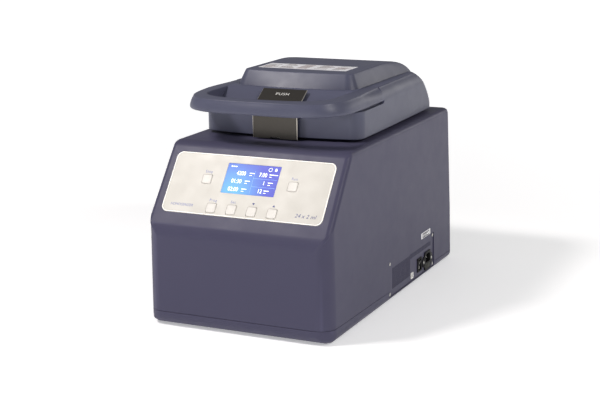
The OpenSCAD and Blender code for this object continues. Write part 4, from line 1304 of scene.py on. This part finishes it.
def make_lid_hood():
    lower = lid_box("lid_hood", 0, LID_Z, ARM_Z + 0.3, 1.6)
    shoulder = shoulder_form("shoulder")
    combine(shoulder, [block("keep", (-200, ARM_END + 0.4, 200), (200, 700, 500))], "INTERSECT")
    middle = shoulder_form("middle")
    combine(middle, [block("keep", (-116, LID_FRONT + 1, ARM_Z - 4), (116, ARM_END + 1, 500))], "INTERSECT")
    combine(middle, [wedge("slope", LID_FRONT + 2, 31, ARM_Z - 2)], "DIFFERENCE")
    combine(lower, [shoulder, middle], "UNION")
    slots = []
    for s in (-1, 1):
        low, high = sorted((s * 112, s * 220))
        slot = block("slot", (low, -50, ARM_Z - SLOT_H), (high, ARM_END - 1, ARM_Z + 1))
        core = prism("core", lid_outline(SLOT_DEPTH), place, ARM_Z - 20, ARM_Z + 20)
        combine(slot, [core], "DIFFERENCE")
        slots.append(slot)
    pocket = lofted("pocket", [
        cover_ring(t, COVER_BASE + (COVER_Z + 1 - COVER_BASE) * t, 0.8)
        for t in (0, 0.15, 0.3, 0.45, 0.6, 0.75, 0.9, 1)
    ])
    inside = lid_box("inside", WALL, LID_Z - 10, ARM_Z - LID_ROOF)
    recess = block("recess", (-108, LID_FRONT + 42, ARM_Z - LID_ROOF - 1), (108, 462, ARM_Z + 2))
    window = block("window", (-101, LID_FRONT + 62, ARM_Z - 4), (101, 462, COVER_BASE + 3))
    seat = block("seat", (-43, LID_FRONT - 20, 328), (43, 175, 400))
    hook_slot = block("hook_slot", (-22, LID_FRONT - 20, LID_Z - 10), (22, LID_FRONT + 20, LID_Z + 10))
    tools = [pocket, inside, recess, window, seat, hook_slot]
    combine(lower, slots + tools, "DIFFERENCE")
    soften(lower, 0.4, 2, 38)
    lower.data.materials.append(MATERIALS["lid_plastic"])
    smooth(lower, 38)
    even_normals(lower)
    finish_piece(lower, "lid", "lid_plastic", "lid_shell")


def make_raised_cover():
    """Raised cover: leaning front and sides, crisp upper crease, rear that rolls down."""
    rise = COVER_Z - COVER_BASE
    crease = 1.6
    last = 1 - crease / rise
    levels = [(last * i / 14, 0) for i in range(15)]
    levels += [(last + (1 - last) * s, -crease * 0.8 * c) for c, s in quarter(5)]
    shape = Shape()
    shape.loft([cover_ring(t, COVER_BASE + rise * t, grow) for t, grow in levels])
    shape.piece("lid_raised_cover", "lid", "lid_plastic", "lid_cover", sharp=30)


def make_lid_label():
    """Strip on the cover: white film with plain generic blocks in grey and brown."""
    low, high = box_mm("lid_label")
    centre = ((low.x + high.x) / 2, (low.y + high.y) / 2)
    width, length = high.x - low.x, high.y - low.y

    def on_cover(a, b, w):
        return place(centre[0] + a, centre[1] + b, COVER_Z + w)

    art = Print(on_cover, 0.01, 0.12)
    art.bar((0, 0), width, length, 0, 1.5)
    art.level, art.thickness = 0.13, 0.03
    columns, rows = 5, 7
    cell = width / columns
    for i in range(columns):
        for k in range(rows):
            kind = (3 * i + 5 * k + i * k) % 7
            if kind == 0:
                continue
            bar = cell - 5 - 4.5 * (kind % 4)
            x = -width / 2 + cell * i + 3 + bar / 2
            y = length / 2 - 5.5 - k * (length - 9) / rows
            art.bar((x, y), bar, 3.2, 1 + kind % 2)
    brown = ink("ink_brown", (0.16, 0.085, 0.07))
    grey = ink("ink_soft_grey", (0.24, 0.23, 0.23))
    looks = [MATERIALS["label_white"], brown, grey]
    art.piece("cover_label", "lid", "label_white", "lid_label", materials=looks)


def handle_plan():
    """Outer and inner edges of the loop handle from above, from one arm's end to the other's."""
    half, front, reach = 113, 93, 57
    outer = superellipse(GRIP_HALF_W, GRIP_FRONT, GRIP_REACH, GRIP_POWER, 30)
    inner = superellipse(half, front, reach, 2.7, 30)
    for k in range(1, 9):
        d_outer = lerp(GRIP_FRONT + GRIP_REACH, ARM_END, k / 8)
        d_inner = lerp(front + reach, ARM_END, k / 8)
        drop = LID_TAPER * ((d_outer - 192) / 325) ** 1.6
        ends = ((outer, d_outer, GRIP_HALF_W - drop), (inner, d_inner, half + 1.5 * k / 8))
        for row, d, width in ends:
            row.append((width, d))
            row.insert(0, (-width, d))
    return outer, inner


def make_handle():
    """Loop handle: nearly straight outer face, crisp top crease, wider arms at the sides."""
    outer, inner = handle_plan()
    rings = []
    for (ox, od), (ix, id_) in zip(outer, inner):
        across = Vector((ix - ox, id_ - od))
        width = across.length
        unit = across / width
        arm = min(max((od - 90) / 150, 0), 1)
        fall = lerp(2.5, 0.0, min(arm * 1.15, 1) ** 0.8)
        high = RIDGE_Z - fall - ARM_Z
        lean = lerp(6.0, SHOULDER_R - 2, arm)
        bend = lerp(1.75, 2.0, arm)
        edge = lerp(1.5, 2.2, arm)
        section = [(4.2, 0.0), (2.0, 0.5), (0.6, 1.6), (0.0, 3.2)]
        body = high - edge
        for i in range(1, 8):
            t = i / 7
            section.append((lean * t ** bend, lerp(3.2, body, t)))
        section += [(lean + edge * 1.2 * c, body + edge * s) for c, s in quarter(4)]
        slump = lerp(-2.5, 0.0, arm)
        section += [
            (lerp(lean, width, 0.55), high - slump * 0.3),
            (width - 2.4, high - slump),
            (width - 0.8, high - slump - 0.6),
            (width, high - slump - 2.2),
            (width, 2.2),
            (width - 1.6, 0.4),
            (width - 3.4, 0.0),
        ]
        rings.append([place(ox + unit.x * t, od + unit.y * t, ARM_Z + h) for t, h in section])
    shape = Shape()
    shape.loft(rings)
    shape.piece("lid_handle", "lid", "lid_plastic", "handle_bail", sharp=50)


def make_latch():
    """Bent stainless strap with a painted highlight along its bevelled edges, a push plate, pivot ears and
    a hook.
    """
    half, thick, front = 41, 1.5, 155.5
    low, bend_z = BODY_TOP + 2.2, ARM_Z - 1
    lean, length = math.radians(33), 49
    shape = Shape()
    front_line = [(front, low)]
    front_line += [(front, lerp(low, bend_z - 3, t)) for t in (0.33, 0.66, 1.0)]
    bend_r = 6
    for i in range(1, 8):
        a = (math.pi / 2 - lean) * i / 7
        drop = bend_r * (1 - math.cos(a)) * 0.5
        front_line.append((front + drop, bend_z - 3 + bend_r * math.sin(a) * 0.55))
    start = front_line[-1]
    for t in (0.25, 0.5, 0.75, 1.0):
        front_line.append((start[0] + length * t * math.cos(lean), start[1] + length * t * math.sin(lean)))
    bevel = 0.55
    rows = []
    for i, (d, z) in enumerate(front_line):
        before = front_line[max(i - 1, 0)]
        after = front_line[min(i + 1, len(front_line) - 1)]
        t = Vector((after[0] - before[0], after[1] - before[1])).normalized()
        db, zb = d + t.y * thick, z - t.x * thick
        n = Vector((db - d, zb - z)).normalized()
        rows.append([
            place(-half, d + n.x * bevel, z + n.y * bevel),
            place(-half + bevel * 1.6, d, z),
            place(half - bevel * 1.6, d, z),
            place(half, d + n.x * bevel, z + n.y * bevel),
            place(half, db, zb),
            place(-half, db, zb),
        ])
    made = [shape.ring(row) for row in rows]
    # Painted highlight: the bevelled edges and both ends (mark 1) take the bright glint material.
    marks = [1, 0, 1, 1, 0, 1]
    for a, b in zip(made, made[1:]):
        for i in range(6):
            j = (i + 1) % 6
            shape.face((a[i], a[j], b[j], b[i]), marks[i])
    shape.face(reversed(made[0]), 1)
    shape.face(made[-1], 1)
    strap = shape.build("latch_plate", [MATERIALS["latch_steel"], EDGE_GLINT], 30)
    pin_d, pin_z = 168, 338
    for s in (-1, 1):
        ear = arc(pin_d - 1, pin_z, 5, -80, 80, 10)
        ear = [(front + 0.4, pin_z - 6)] + ear + [(front + 0.4, pin_z + 6)]
        combine(strap, [prism("ear", ear, sideways, s * (half - thick), s * half)], "UNION")
    hook = block("hook", (-16, front + 0.3, BODY_TOP + 4.5), (16, 169.5, BODY_TOP + 7))
    combine(strap, [hook], "UNION")
    notch = block("notch", (-9, front - 5, BODY_TOP + 1), (9, front + 5, BODY_TOP + 4.6))
    combine(strap, [notch], "DIFFERENCE")
    smooth(strap, 30)
    finish_piece(strap, "latch", "latch_steel", "latch_strap")

    centre = (start[0] + length * 0.52 * math.cos(lean), start[1] + length * 0.52 * math.sin(lean))

    def on_plate(a, b, w):
        return place(
            a,
            centre[0] + b * math.cos(lean) - w * math.sin(lean),
            centre[1] + b * math.sin(lean) + w * math.cos(lean),
        )

    art = Print(on_plate, 0.02, 0.05)
    art.words("PUSH", (0, 10.5), 8.4, 0, width_scale=1.15, spacing=1.15)
    art.piece("push_word", "latch", "latch_steel", materials=[INK_WHITE])


# ---------------------------------------------------------------- chamber


def on_tilt(x, y, z):
    """Local point on the tube holder's tilted axis, in millimetres."""
    t = TILT
    return place(
        x * math.cos(t) + z * math.sin(t),
        CHAMBER_D + y,
        TILT_CENTRE_Z - x * math.sin(t) + z * math.cos(t),
    )


def make_clamp_knob():
    """Black star knob with rounded lobes and a bright centre cap."""
    shape = Shape()
    low, high = 46.2, 60.0

    def lobes(inset):
        points = []
        for i in range(128):
            a = 2 * math.pi * i / 128
            r = 20 - inset - 2.2 * (math.cos(4 * a) ** 2) ** 6
            points.append((r * math.cos(a), r * math.sin(a)))
        return points

    shape.plate(lobes, [], low, high, on_tilt, edge=2.4, under=1.0, steps=5)
    shape.plate(disc(11), [], 42.2, low + 0.2, on_tilt, edge=0)
    shape.plate(disc(8), [], high - 0.2, high + 0.15, on_tilt, edge=0.15, mark=1)
    looks = [MATERIALS["black_plastic"], MATERIALS["bright_steel"]]
    shape.piece("clamp_star_knob", "clamp_knob", "black_plastic", "clamp_knob", materials=looks, sharp=40)


def make_boot():
    """Rubber gaiter with rounded folds."""
    shape = Shape()
    folds, base, top = 4, 207.5, 239.5
    mean_r, least_r, wave, wall = 47, 39.6, 2.9, 1.5
    steps = [i / (folds * 12) for i in range(folds * 12 + 1)]
    waves = [wave * math.cos(2 * math.pi * folds * t) for t in steps]
    outer = [(mean_r - w, lerp(base, top, t)) for t, w in zip(steps, waves)]
    inner = [
        (max(min(44.8 - w, mean_r) - wall, least_r), lerp(base, top, t))
        for t, w in zip(steps, waves)
    ]
    profile = outer + inner[::-1]
    shape.lathe(profile, lambda x, y, z: place(x, CHAMBER_D + y, z), 72)
    shape.piece("gaiter_folds", "housing", "black_rubber", "chamber_boot", sharp=60)


# ---------------------------------------------------------------- stage


def make_floor():
    shape = Shape()
    size = 30000
    corners = ((-size, -size), (size, -size), (size, size), (-size, size))
    shape.face(shape.ring([place(x, d, 0) for x, d in corners]))
    recipe = Recipe("pale_floor", (0.93, 0.93, 0.93), 0.6)
    recipe.color_from(recipe.mix(recipe.noise(3, 3), (0.925, 0.925, 0.925), (0.94, 0.94, 0.94)))
    recipe.set(Emission_Color=(1, 1, 1, 1))
    # Painted light: the floor glows, weakly within 0.7 m of the machine and more strongly out to 3.2 m, so
    # the far floor reads white.
    glow = recipe.ramp(recipe.length(recipe.coords), 0.36, 0.85, 0.7, 3.2)
    recipe.link(glow, recipe.inputs["Emission Strength"])
    floor = shape.build("floor", [recipe.material])


def make_camera():
    """Camera at the photograph's viewing angle, worked out from the model's box."""
    azimuth, elevation, roll = (math.radians(a) for a in (25.489, 13.318, -0.939))
    distance = 2.4197
    low, high = cad_bounds
    middle = (Vector(low) + Vector(high)) / 2
    aim = middle + Vector((-0.0118, -0.0144, -0.0345))
    ahead = Vector((
        -math.sin(azimuth) * math.cos(elevation),
        math.cos(azimuth) * math.cos(elevation),
        -math.sin(elevation),
    ))
    right = ahead.cross(Vector((0, 0, 1))).normalized()
    up = right.cross(ahead)
    turned_right = right * math.cos(roll) + up * math.sin(roll)
    turned_up = up * math.cos(roll) - right * math.sin(roll)
    data = bpy.data.cameras.new("camera")
    data.sensor_width = 36
    data.lens = 82.58
    data.clip_end = 100
    camera = link_object("camera", data)
    axes = Matrix((turned_right, turned_up, -ahead)).transposed()
    camera.matrix_world = Matrix.Translation(aim - ahead * distance) @ axes.to_4x4()
    bpy.context.scene.camera = camera


def make_light(name, at, aim, size, power, color=(1, 1, 1)):
    data = bpy.data.lights.new(name, "AREA")
    data.shape = "RECTANGLE"
    data.size, data.size_y = size
    data.energy = power
    data.color = color
    lamp = link_object(name, data)
    direction = Vector(aim) - Vector(at)
    lamp.location = at
    lamp.rotation_euler = direction.to_track_quat("-Z", "Y").to_euler()


def make_studio():
    world = bpy.data.worlds.new("studio")
    world.use_nodes = True
    background = world.node_tree.nodes["Background"]
    background.inputs["Color"].default_value = (0.97, 0.98, 1.0, 1)
    background.inputs["Strength"].default_value = 0.26
    bpy.context.scene.world = world
    target = (0, 0, 0.2)
    make_light("key", (-1.0, -1.05, 1.95), target, (0.4, 0.35), 33, (1.0, 0.96, 0.95))
    make_light("corner", (2.05, -0.55, 1.6), target, (0.25, 0.3), 19, (1.0, 0.97, 0.94))
    make_light("rear", (1.3, 2.3, 0.8), target, (1.4, 0.5), 7, (1.0, 0.98, 0.96))
    make_light("fill", (0.35, -2.4, 0.4), target, (1.2, 0.4), 8, (0.98, 0.98, 1.0))
    bpy.context.scene.view_settings.view_transform = "Standard"


# ---------------------------------------------------------------- build

make_camera()
make_studio()
make_floor()
dress_cad_nodes()
make_housing_shell()
make_base()
make_feet()
make_fascia()
for key_node, key_at in KEYS.items():
    make_key(key_node, key_at)
make_display_face()
make_display_picture()
make_panel_print()
make_service_plate()
make_inlet()
make_fuse_drawer()
make_rocker()
make_usb()
make_side_label()
make_lid_hood()
make_raised_cover()
make_lid_label()
make_handle()
make_latch()
make_clamp_knob()
make_boot()
